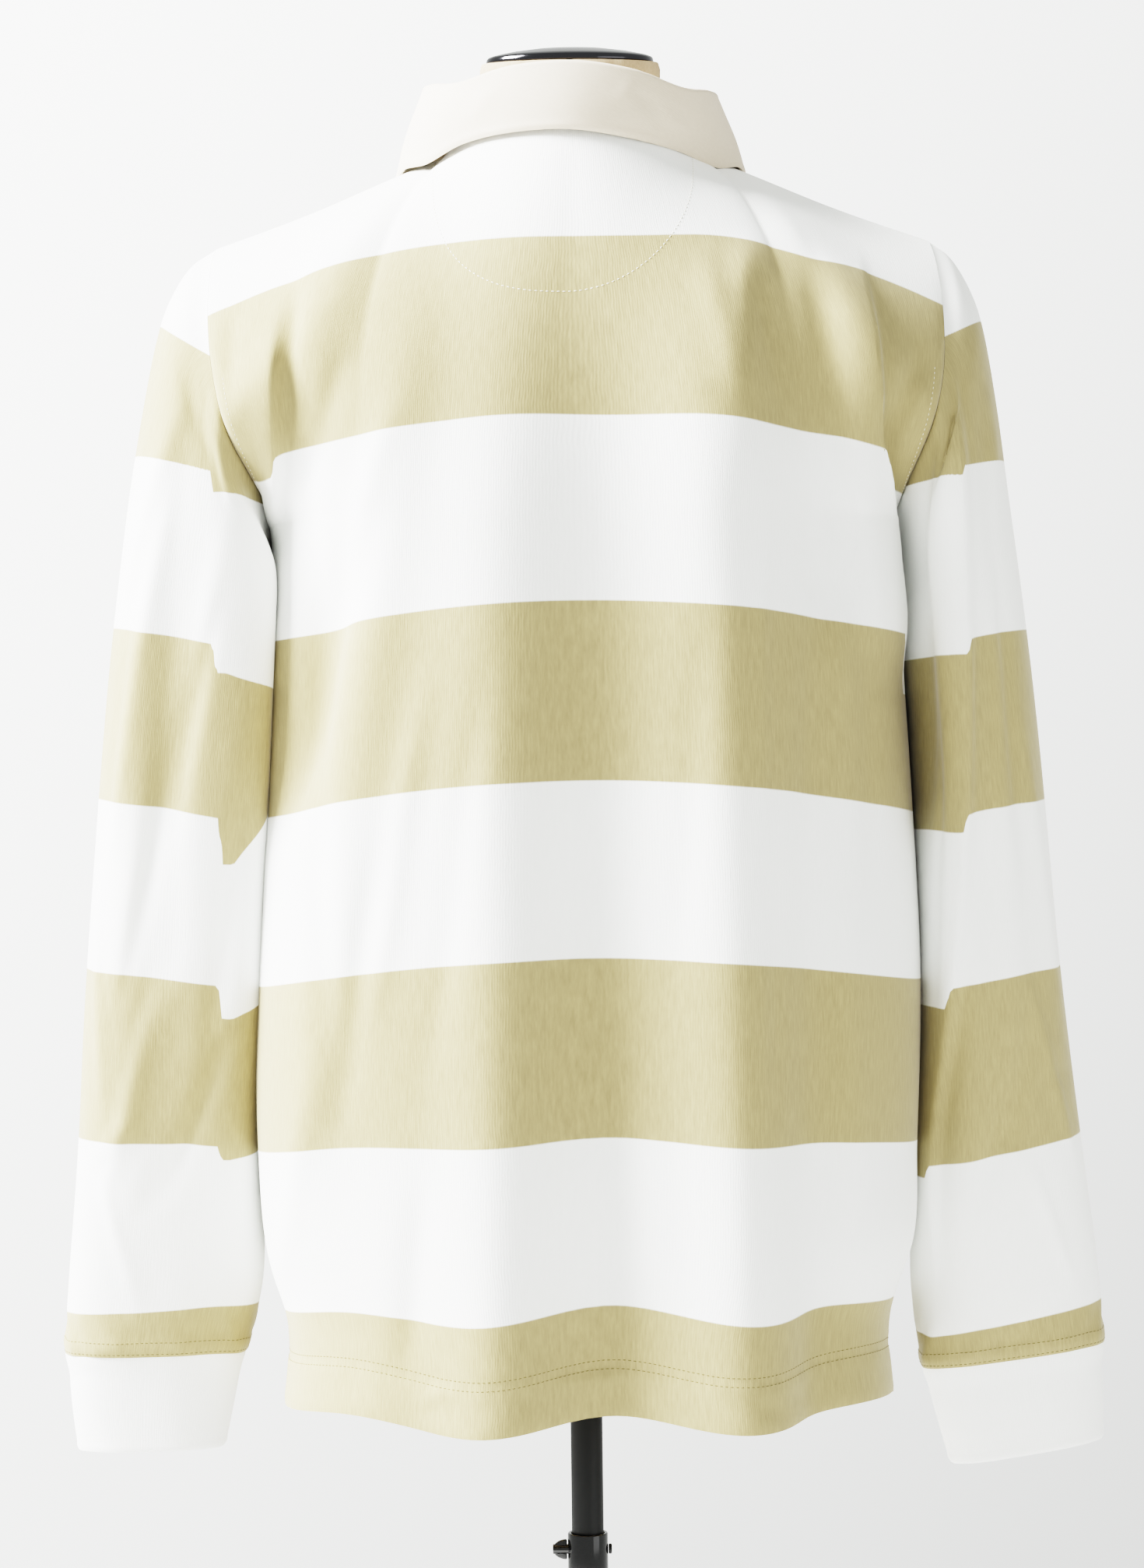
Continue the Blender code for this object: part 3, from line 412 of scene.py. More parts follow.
class KnitGroup(EffectGroup):
    """Cotton jersey: ribs of loops up the cloth and yarn that varies in tone."""

    name = "jersey knit"
    inputs = (
        ("Vector", "NodeSocketVector", 0),
        ("Ribs per metre", "NodeSocketFloat", 900),
        ("Streak length", "NodeSocketFloat", 12),
    )
    outputs = ("Height", "Tone")

    def build(self, nodes: Nodes, given: bpy.types.NodeOutputs) -> tuple[bpy.types.NodeSocket, ...]:
        """A rounded rib wave that wanders a little, and streaky yarn tone."""
        place = nodes.add("ShaderNodeSeparateXYZ", {0: given["Vector"]})
        along = nodes.math("DIVIDE", place.outputs["Y"], given["Streak length"])
        stretched = nodes.add("ShaderNodeCombineXYZ", {0: place.outputs["X"], 1: along})
        wander = nodes.add("ShaderNodeTexNoise", {"Vector": given["Vector"], "Scale": 90.0, "Detail": 2.0})
        turns = nodes.math("MULTIPLY", place.outputs["X"], given["Ribs per metre"])
        shift = nodes.math("MULTIPLY", wander.outputs["Fac"], 9.0)
        wave = nodes.math("SINE", nodes.math("MULTIPLY_ADD", turns, 2 * math.pi, shift))
        streak = nodes.add(
            "ShaderNodeTexNoise",
            {"Vector": stretched.outputs[0], "Scale": 900.0, "Detail": 2.0, "Roughness": 0.7},
        )
        height = nodes.math("MULTIPLY_ADD", wave, 0.14, streak.outputs["Fac"])
        return height, streak.outputs["Fac"]


class WeaveGroup(EffectGroup):
    """Woven cloth: crossing yarns for linen, or slanted ridges for twill."""

    name = "woven yarns"
    inputs = (
        ("Vector", "NodeSocketVector", 0),
        ("Yarns per metre", "NodeSocketFloat", 1100),
        ("Slant", "NodeSocketFloat", 0),
    )
    outputs = ("Height", "Tone")

    def build(self, nodes: Nodes, given: bpy.types.NodeOutputs) -> tuple[bpy.types.NodeSocket, ...]:
        """Warp and weft waves, or one slanted wave, over yarns of uneven thickness."""
        place = nodes.add("ShaderNodeSeparateXYZ", {0: given["Vector"]})
        rate = nodes.math("MULTIPLY", given["Yarns per metre"], 2 * math.pi)
        slubs = nodes.add("ShaderNodeTexNoise", {"Vector": given["Vector"], "Scale": 420.0, "Detail": 2.0})
        shift = nodes.math("MULTIPLY", slubs.outputs["Fac"], 3.0)
        warp = nodes.math("SINE", nodes.math("MULTIPLY_ADD", place.outputs["X"], rate, shift))
        weft = nodes.math("SINE", nodes.math("MULTIPLY_ADD", place.outputs["Y"], rate, shift))
        crossed = nodes.math("MULTIPLY", warp, weft)
        diagonal = nodes.math("ADD", place.outputs["X"], place.outputs["Y"])
        ridge = nodes.math("SINE", nodes.math("MULTIPLY_ADD", diagonal, rate, shift))
        both = nodes.add("ShaderNodeMix", {0: given["Slant"], 2: crossed, 3: ridge}, data_type="FLOAT")
        height = nodes.math("MULTIPLY_ADD", both.outputs[0], 0.5, 0.5)
        tone = nodes.math("MULTIPLY_ADD", slubs.outputs["Fac"], 0.6, nodes.math("MULTIPLY", height, 0.4))
        return height, tone


class StripeGroup(EffectGroup):
    """1 on the coloured stripes and 0 between them, by the level on the body."""

    name = "stripe mask"
    inputs = (("Level", "NodeSocketFloat", 0),)
    outputs = ("Mask",)
    edges = ((700.0, 830.2), (927.7, 1031.2), (1131.7, 1233.5), (1338.5, 1442.5))
    blur = 0.6

    def build(self, nodes: Nodes, given: bpy.types.NodeOutputs) -> tuple[bpy.types.NodeSocket, ...]:
        """Each stripe's edges as smooth steps, which stay sharp at any size."""
        total = 0.0
        for pair in self.edges:
            for edge, sign in zip(pair, (1.0, -1.0)):
                step = nodes.add(
                    "ShaderNodeMapRange",
                    {0: given["Level"], 1: (edge - self.blur) * MM, 2: (edge + self.blur) * MM, 4: sign},
                    interpolation_type="SMOOTHSTEP",
                )
                total = nodes.math("ADD", step.outputs[0], total)
        return (total,)


class MottleGroup(EffectGroup):
    """Broad soft unevenness, for the hand of cloth and the handling of painted steel."""

    name = "soft mottle"
    inputs = (
        ("Vector", "NodeSocketVector", 0),
        ("Scale", "NodeSocketFloat", 20),
        ("Amount", "NodeSocketFloat", 0.1),
    )
    outputs = ("Value",)

    def build(self, nodes: Nodes, given: bpy.types.NodeOutputs) -> tuple[bpy.types.NodeSocket, ...]:
        """Noise round zero, times the amount."""
        noise = nodes.add(
            "ShaderNodeTexNoise",
            {"Vector": given["Vector"], "Scale": given["Scale"], "Detail": 3.0},
        )
        centred = nodes.math("SUBTRACT", noise.outputs["Fac"], 0.5)
        return (nodes.math("MULTIPLY", centred, given["Amount"]),)


class Finish:
    """A finish that makes one material and gives it again each time it is asked for."""

    name: str

    def material(self) -> bpy.types.Material:
        """The finish's material, built at its first use."""
        found = bpy.data.materials.get(self.name)
        if found:
            return found
        made = bpy.data.materials.new(self.name)
        made.use_nodes = True
        shader = made.node_tree.nodes["Principled BSDF"]
        self.dress(Nodes(made.node_tree), shader)
        made.diffuse_color = tuple(shader.inputs["Base Color"].default_value)
        return made

    def dress(self, nodes: Nodes, shader: bpy.types.Node) -> None:
        """Sets and feeds the shader's sockets."""
        raise NotImplementedError


@dataclass(frozen=True)
class JerseyFinish(Finish):
    """Matt cotton jersey in two colours, by the level that each point of cloth carries."""

    name: str = "striped jersey"
    pale: tuple[float, float, float] = (238, 239, 236)
    green: tuple[float, float, float] = (157, 145, 108)
    relief: float = 0.00022
    tone_on_pale: float = 0.012
    tone_on_green: float = 0.117

    def dress(self, nodes: Nodes, shader: bpy.types.Node) -> None:
        """Stripes, yarn tone and rib relief from the cloth's own map and level."""
        level = nodes.add("ShaderNodeAttribute", attribute_name="stripe").outputs["Fac"]
        mask = StripeGroup().place(nodes, Level=level).outputs["Mask"]
        base = nodes.mix(mask, linear(*self.pale), linear(*self.green))
        cloth_map = nodes.add("ShaderNodeUVMap", uv_map="cloth").outputs["UV"]
        knit = KnitGroup().place(nodes, Vector=cloth_map, Ribs_per_metre=900.0, Streak_length=12.0)
        tone = nodes.add("ShaderNodeMapRange", {0: knit.outputs["Tone"], 1: 0.3, 2: 0.7, 3: -1.0, 4: 1.0})
        gain = self.tone_on_green - self.tone_on_pale
        strength = nodes.math("MULTIPLY_ADD", mask, gain, self.tone_on_pale)
        lift = nodes.math("MULTIPLY_ADD", tone.outputs[0], strength, 1.0)
        grey = nodes.add("ShaderNodeCombineColor", dict.fromkeys(range(3), lift)).outputs[0]
        mottle = MottleGroup().place(nodes, Vector=cloth_map, Scale=260.0, Amount=0.5)
        relief = nodes.math("ADD", knit.outputs["Height"], mottle.outputs[0])
        nodes.feed(
            shader,
            Base_Color=nodes.mix(1.0, base, grey, "MULTIPLY"),
            Normal=nodes.bump(0.55, self.relief, relief),
            Roughness=0.88,
            Specular_IOR_Level=0.25,
            Sheen_Weight=0.28,
            Sheen_Roughness=0.45,
            Sheen_Tint=(1.0, 0.99, 0.96, 1.0),
        )


@dataclass(frozen=True)
class WovenFinish(Finish):
    """A plain woven cloth in one colour with its yarns showing."""

    name: str
    colour: tuple[float, float, float]
    shade: tuple[float, float, float]
    yarns: float
    slant: float
    relief: float
    contrast: float

    def dress(self, nodes: Nodes, shader: bpy.types.Node) -> None:
        """Yarn tone between two colours, and the yarns' relief."""
        cloth_map = nodes.add("ShaderNodeUVMap", uv_map="cloth").outputs["UV"]
        weave = WeaveGroup().place(
            nodes, Vector=cloth_map, Yarns_per_metre=self.yarns, Slant=self.slant
        )
        mottle = MottleGroup().place(nodes, Vector=cloth_map, Scale=35.0, Amount=0.35)
        uneven = nodes.math("ADD", weave.outputs["Tone"], mottle.outputs[0])
        tone = nodes.math("MULTIPLY", uneven, self.contrast)
        nodes.feed(
            shader,
            Base_Color=nodes.mix(tone, linear(*self.colour), linear(*self.shade)),
            Normal=nodes.bump(0.6, self.relief, weave.outputs["Height"]),
            Roughness=0.85,
            Specular_IOR_Level=0.25,
            Sheen_Weight=0.2,
            Sheen_Roughness=0.5,
        )


@dataclass(frozen=True)
class HardFinish(Finish):
    """Metal, paint or plastic with slight unevenness in its gloss."""

    name: str
    colour: tuple[float, float, float]
    roughness: float
    metallic: float = 0.0
    coat: float = 0.0
    unevenness: float = 0.12
    grain: float = 1400.0
    relief: float = 0.00003
    darkest: float = 0.82

    def dress(self, nodes: Nodes, shader: bpy.types.Node) -> None:
        """A plain colour with mottled gloss and a very fine relief."""
        place = nodes.add("ShaderNodeTexCoord").outputs["Object"]
        broad = MottleGroup().place(nodes, Vector=place, Scale=18.0, Amount=self.unevenness)
        fine = MottleGroup().place(nodes, Vector=place, Scale=self.grain, Amount=1.0)
        shade = nodes.math("ADD", fine.outputs[0], 0.5)
        darker = tuple(value * self.darkest for value in self.colour)
        nodes.feed(
            shader,
            Base_Color=nodes.mix(shade, linear(*darker), linear(*self.colour)),
            Normal=nodes.bump(0.3, self.relief, fine.outputs[0]),
            Roughness=nodes.math("ADD", broad.outputs[0], self.roughness),
            Metallic=self.metallic,
            Coat_Weight=self.coat,
            Coat_Roughness=0.08,
        )


JERSEY = JerseyFinish()
TWILL = WovenFinish("collar twill", (221, 209, 190), (203, 189, 169), 900.0, 1.0, 0.00016, 0.75)
LINEN = WovenFinish("form linen", (212, 194, 166), (150, 126, 96), 1250.0, 0.0, 0.0003, 0.9)
PALE_THREAD = HardFinish("pale thread", (240, 236, 218), 0.7, grain=900.0)
# Hem thread: green, darkened below the cloth's green so that its colour also carries painted shade, the
# small shadows and needle holes along the stitching.
GREEN_THREAD_PAINTED_SHADE = HardFinish("green thread with painted shade", (126, 115, 76), 0.75, grain=900.0)
BUTTON = HardFinish("button", (226, 222, 210), 0.3, coat=0.4, grain=300.0)
# Neck cap: its metal colour is darkened to stand in for the dark surroundings that the cap's mirror-like
# face reflects, a painted dark reflection rather than the metal's own colour.
CHROME_PAINTED_DARK_REFLECTION = HardFinish("polished cap with painted dark reflection", (84, 84, 87), 0.12, metallic=1.0, unevenness=0.16)
BLACK_STEEL = HardFinish("satin black steel", (8, 9, 10), 0.46)
BLACK_GLOSS = HardFinish("glossy black", (14, 14, 15), 0.12, coat=0.6)


# ---------------------------------------------------------------- cloth


def grid_normals(points: Array, wrap: bool) -> Array:
    """Unit normals of a grid, across columns times up rows."""
    if wrap:
        across = np.roll(points, -1, axis=1) - np.roll(points, 1, axis=1)
    else:
        across = np.gradient(points, axis=1)
    return unit(np.cross(across, np.gradient(points, axis=0)))


def show_mesh(
    mesh: bpy.types.Mesh, finish: Finish, sharp_angle: float | None = None
) -> bpy.types.Object:
    """A new object of the mesh's name, smooth but for edges that are sharper than an angle."""
    mesh.materials.append(finish.material())
    mesh.shade_smooth()
    if sharp_angle is not None:
        mesh.set_sharp_from_angle(angle=math.radians(sharp_angle))
    made = bpy.data.objects.new(mesh.name, mesh)
    bpy.context.scene.collection.objects.link(made)
    return made


SHARP_ANGLE = 50.0


@dataclass
class Cloth:
    """A sheet of cloth as a grid of points on its outer side, in millimetres.

    Attributes:
        points: Rows by columns of points.
        normals: Outward unit normals.
        flat: The cloth's own map, across and along.
        stripe: The level on the body that each point's colour is read at.
        wrap: Whether the last column meets the first.
        open_column: A column of cells that is left open, above open_row.
        open_row: The row from which that column is open.
        girth: How far the map runs round a wrapped sheet.
    """

    points: Array
    normals: Array
    flat: Array
    stripe: Array
    wrap: bool = False
    open_column: int = -1
    open_row: int = 0
    girth: float = 0.0

    def cells(self) -> tuple[Array, Array]:
        """The kept cells as four point numbers each, and whether a cell closes the wrap."""
        rows, columns = self.points.shape[:2]
        number = np.arange(rows * columns).reshape(rows, columns)
        count = columns if self.wrap else columns - 1
        start = number[:, :count]
        following = np.roll(number, -1, axis=1)[:, :count]
        quads = np.stack([start[:-1], following[:-1], following[1:], start[1:]], axis=-1)
        keep = np.ones(quads.shape[:2], bool)
        if self.open_column >= 0:
            keep[self.open_row :, self.open_column] = False
        closing = np.zeros(quads.shape[:2], bool)
        closing[:, -1] = self.wrap
        return quads[keep], closing[keep]

    def wall(self, name: str, thickness: float, finish: Finish) -> bpy.types.Object:
        """Makes the sheet's mesh: both sides and a rim along every open edge.

        Args:
            name: The piece's name.
            thickness: Of the wall, in millimetres.
            finish: The cloth's finish.

        Returns:
            The finished object.
        """
        quads, closing = self.cells()
        size = self.points.shape[0] * self.points.shape[1]
        outer = self.points.reshape(-1, 3)
        inner = outer - thickness * self.normals.reshape(-1, 3)
        starts = quads.reshape(-1)
        ends = np.roll(quads, -1, axis=1).reshape(-1)
        lonely = ~np.isin(starts * size + ends, ends * size + starts)
        start, end = starts[lonely], ends[lonely]
        rim = np.stack([end, start, size + start, size + end], axis=-1)
        faces = np.concatenate([quads, size + quads[:, ::-1], rim])
        flat = np.tile(self.flat.reshape(-1, 2), (2, 1)) * MM
        corners = flat[faces]
        if self.wrap:
            for side in (corners[: len(quads)], corners[len(quads) : 2 * len(quads)]):
                side[closing, 1:3, 0] += self.girth * MM
        stripe = np.tile(self.stripe.reshape(-1), 2) * MM
        used, renumbered = np.unique(faces, return_inverse=True)
        points = np.concatenate([outer, inner])[used] * MM
        mesh = bpy.data.meshes.new(name)
        mesh.from_pydata(points, [], renumbered.reshape(faces.shape).tolist())
        level = mesh.attributes.new("stripe", "FLOAT", "POINT")
        level.data.foreach_set("value", stripe[used].astype(np.float32))
        layer = mesh.uv_layers.new(name="cloth")
        layer.data.foreach_set("uv", corners.reshape(-1).astype(np.float32))
        return show_mesh(mesh, finish, SHARP_ANGLE)

    def area(self) -> float:
        """The area of one side, in square metres."""
        quads, _ = self.cells()
        a, b, c, d = (self.points.reshape(-1, 3)[quads[:, k]] for k in range(4))
        return float(np.linalg.norm(np.cross(c - a, d - b), axis=1).sum() / 2) * MM * MM

    def size(self) -> tuple[float, float]:
        """The greatest width and length over the cloth, in metres, rounded up to 1 mm."""
        end = self.points[:, :1] if self.wrap else self.points[:, -1:]
        width = np.linalg.norm(np.diff(self.points, axis=1, append=end), axis=-1).sum(axis=1).max()
        length = np.linalg.norm(np.diff(self.points, axis=0), axis=-1).sum(axis=0).max()
        return math.ceil(width) / 1000, math.ceil(length) / 1000

    def declare(self, piece: bpy.types.Object, held: str, rests_on: str) -> None:
        """Logs a piece's name with this sheet's size and area laid flat."""
        size, area = self.size(), self.area()
        LOG.info("%s: %.3f x %.3f m, %.5f square metres", piece.name, *size, area)

    def flipped(self, axis: int) -> Cloth:
        """The same sheet with its rows, axis 0, or its columns, axis 1, the other way."""
        grids = ("points", "normals", "flat", "stripe")
        return replace(self, **{name: np.flip(getattr(self, name), axis) for name in grids})

    def distance_from(self, edge: Edge) -> Array:
        """How far each point is from an edge, along its own row or column."""
        axis = 0 if edge in (Edge.FIRST_ROW, Edge.LAST_ROW) else 1
        steps = np.linalg.norm(np.diff(self.points, axis=axis), axis=-1)
        if edge in (Edge.FIRST_ROW, Edge.FIRST_COLUMN):
            run = np.cumsum(steps, axis=axis)
            pad = ((1, 0), (0, 0)) if axis == 0 else ((0, 0), (1, 0))
            return np.pad(run, pad)
        run = np.flip(np.cumsum(np.flip(steps, axis), axis=axis), axis)
        pad = ((0, 1), (0, 0)) if axis == 0 else ((0, 0), (0, 1))
        return np.pad(run, pad)

    def distance_from_sides(self) -> Array:
        """How far each point is from the nearer of the first and the last column."""
        ends = (Edge.FIRST_COLUMN, Edge.LAST_COLUMN)
        return np.minimum(*(self.distance_from(end) for end in ends))

    def raise_by(self, height: Array) -> None:
        """Moves each point out along its normal and works the normals out again."""
        before = self.normals
        self.points = self.points + before * height[..., None]
        fresh = grid_normals(self.points, self.wrap)
        self.normals = fresh * np.sign((fresh * before).sum(-1, keepdims=True))

    def along_edge(self, edge: Edge, distance: float, keep: slice = slice(None)) -> tuple[Array, Array]:
        """A line on the cloth at a distance from an edge.

        Args:
            edge: The edge that the line follows.
            distance: From the edge, in millimetres, along the cloth.
            keep: Which of the crossing rows or columns the line takes.

        Returns:
            The line's points and the cloth's normals there.
        """
        run = self.distance_from(edge)
        points, normals = self.points, self.normals
        if edge in (Edge.FIRST_ROW, Edge.LAST_ROW):
            run, points, normals = run.T, points.swapaxes(0, 1), normals.swapaxes(0, 1)
        if edge in (Edge.LAST_ROW, Edge.LAST_COLUMN):
            run, points, normals = run[:, ::-1], points[:, ::-1], normals[:, ::-1]
        line, facing = [], []
        for places, row, ways in zip(run[keep], points[keep], normals[keep]):
            line.append([np.interp(distance, places, row[:, k]) for k in range(3)])
            facing.append([np.interp(distance, places, ways[:, k]) for k in range(3)])
        return np.array(line), unit(np.array(facing))

    def tree(self) -> BVHTree:
        """The outer side as a tree that rays can meet."""
        quads, _ = self.cells()
        return BVHTree.FromPolygons(self.points.reshape(-1, 3).tolist(), quads.tolist())


CREASE_BEND = 0.12
CREASE_FULL_SHARE = 0.25


def crease_height(across: Array, z: Array, creases: Sequence[Crease]) -> Array:
    """How far short creases stand out at places on a cloth."""
    total = np.zeros(np.broadcast(across, z).shape)
    for crease in creases:
        lean = math.radians(crease.lean)
        right, up = across - crease.across, z - crease.z
        along = right * math.sin(lean) + up * math.cos(lean)
        aside = right * math.cos(lean) - up * math.sin(lean)
        bend = CREASE_BEND * along * np.abs(along) / crease.length
        shape = hump(aside, bend, crease.half_width)
        fade = 1 - ease(CREASE_FULL_SHARE, 1, 2 * np.abs(along) / crease.length)
        total += crease.height * shape * fade
    return total


SEAM_ROLL_END = (1340.0, 1400.0)


def seam_roll(distance: Array) -> Array:
    """Cloth that dips into a seam and swells beside it over the turned allowance."""
    return 0.2 * (hump(distance, 5.0, 4.0) - hump(distance, 0.0, 1.6))


@dataclass
class StitchRow:
    """Rows of sewing that are made as one piece: short threads laid end to end."""

    name: str
    finish: Finish
    length: float = 2.3
    pitch: float = 3.2
    radius: float = 0.26
    lift: float = 0.02
    placed: list[Array] = field(default_factory=list)

    def sew(self, line: Array, facing: Array, closed: bool = False) -> None:
        """Lays threads along a line.

        Args:
            line: Points of the line, in millimetres.
            facing: The cloth's outward normals there.
            closed: Whether the line's end meets its start.
        """
        if closed:
            line = np.concatenate([line, line[:1]])
            facing = np.concatenate([facing, facing[:1]])
        run = np.concatenate([[0], np.cumsum(np.linalg.norm(np.diff(line, axis=0), axis=1))])
        middles = np.arange(self.pitch / 2, run[-1] - self.pitch / 2, self.pitch)

        def at(values: Array, places: Array) -> Array:
            return np.stack([np.interp(places, run, values[:, k]) for k in range(3)], axis=-1)

        centre = at(line, middles)
        along = unit(at(line, middles + 1.0) - at(line, middles - 1.0))
        up = unit(at(facing, middles))
        side = unit(np.cross(up, along))
        up = np.cross(along, side)
        centre = centre + up * self.lift
        self.placed.append(np.stack([along, side, up, centre], axis=1))

    def build(self) -> bpy.types.Object:
        """Copies one modelled thread to every place, as one mesh."""
        deselect()
        bpy.ops.mesh.primitive_uv_sphere_add(segments=6, ring_count=4, radius=1)
        thread = bpy.context.object
        template = np.array([vertex.co[:] for vertex in thread.data.vertices])
        faces = [list(face.vertices) for face in thread.data.polygons]
        bpy.data.objects.remove(thread)
        shaped = template[:, [2, 0, 1]] * [self.length / 2, self.radius, self.radius]
        shaped[:, 2] -= 0.25 * self.radius * (shaped[:, 0] / (self.length / 2)) ** 2
        places = np.concatenate(self.placed)
        points = np.einsum("pk,nkx->npx", shaped, places[:, :3]) + places[:, 3][:, None]
        count = len(template)
        every = [[k + n * count for k in face] for n in range(len(places)) for face in faces]
        mesh = bpy.data.meshes.new(self.name)
        mesh.from_pydata(points.reshape(-1, 3) * MM, [], every)
        return show_mesh(mesh, self.finish)


# ---------------------------------------------------------------- hard pieces by operators


def deselect() -> None:
    """Leaves nothing selected, so that an operator meets only its own piece."""
    if bpy.context.object and bpy.context.object.mode != "OBJECT":
        bpy.ops.object.mode_set(mode="OBJECT")
    bpy.ops.object.select_all(action="DESELECT")


def settle(piece: bpy.types.Object, finish: Finish, smooth_angle: float = 35.0) -> bpy.types.Object:
    """Applies a piece's place and modifiers, shades it and gives it its finish."""
    deselect()
    piece.select_set(True)
    bpy.context.view_layer.objects.active = piece
    bpy.ops.object.transform_apply(location=True, rotation=True, scale=True)
    for modifier in list(piece.modifiers):
        bpy.ops.object.modifier_apply(modifier=modifier.name)
    bpy.ops.object.shade_smooth_by_angle(angle=math.radians(smooth_angle))
    piece.data.materials.clear()
    piece.data.materials.append(finish.material())
    deselect()
    return piece


def rod(name: str, radius: float, foot: float, top: float, sides: int = 96) -> bpy.types.Object:
    """A plain upright rod between two heights, in millimetres."""
    deselect()
    bpy.ops.mesh.primitive_cylinder_add(
        vertices=sides, radius=radius * MM, depth=(top - foot) * MM, location=(0, 0, (foot + top) / 2 * MM)
    )
    made = bpy.context.object
    made.name = name
    bpy.ops.object.transform_apply(location=True, rotation=False, scale=False)
    return made


def pick_faces(piece: bpy.types.Object, test: Callable[[bpy.types.MeshPolygon], bool]) -> None:
    """Selects the faces that pass a test, and opens the piece in edit mode."""
    deselect()
    piece.select_set(True)
    bpy.context.view_layer.objects.active = piece
    for element in (*piece.data.vertices, *piece.data.edges):
        element.select = False
    for face in piece.data.polygons:
        face.select = test(face)
    bpy.ops.object.mode_set(mode="EDIT")
    bpy.ops.mesh.select_mode(type="FACE")


def bore_through(piece: bpy.types.Object, wall: float) -> None:
    """Opens an upright rod into a tube: both ends are inset and the loops bridged."""
    pick_faces(piece, lambda face: abs(face.normal.z) > 0.9)
    bpy.ops.mesh.inset(thickness=wall * MM, depth=0, use_individual=True)
    bpy.ops.mesh.delete(type="FACE")
    bpy.ops.mesh.select_all(action="DESELECT")
    bpy.ops.object.mode_set(mode="OBJECT")
    data = bmesh.new()
    data.from_mesh(piece.data)
    loops = [edge for edge in data.edges if edge.is_boundary]
    bmesh.ops.bridge_loops(data, edges=loops)
    bmesh.ops.recalc_face_normals(data, faces=data.faces)
    data.to_mesh(piece.data)
    data.free()


def soften(piece: bpy.types.Object, width: float, segments: int = 3, angle: float = 40.0) -> None:
    """Rounds a piece's sharp edges with a Bevel modifier."""
    bevel = piece.modifiers.new("soft edges", "BEVEL")
    bevel.width = width * MM
    bevel.segments = segments
    bevel.limit_method = "ANGLE"
    bevel.angle_limit = math.radians(angle)


def join_piece(
    piece: bpy.types.Object, body: str, stands_for: Sequence[str] = ()
) -> bpy.types.Object:
    """Makes a piece ride on a body and what it stands for, and reports it.

    Args:
        piece: The finished piece.
        body: The body that it moves with.
        stands_for: The solids that it replaces.

    Returns:
        The same piece.
    """
    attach(piece, body)
    if stands_for:
        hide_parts(*stands_for)
    LOG.info("%s: %d faces on %s", piece.name, len(piece.data.polygons), body)
    return piece


# ---------------------------------------------------------------- the shirt's body


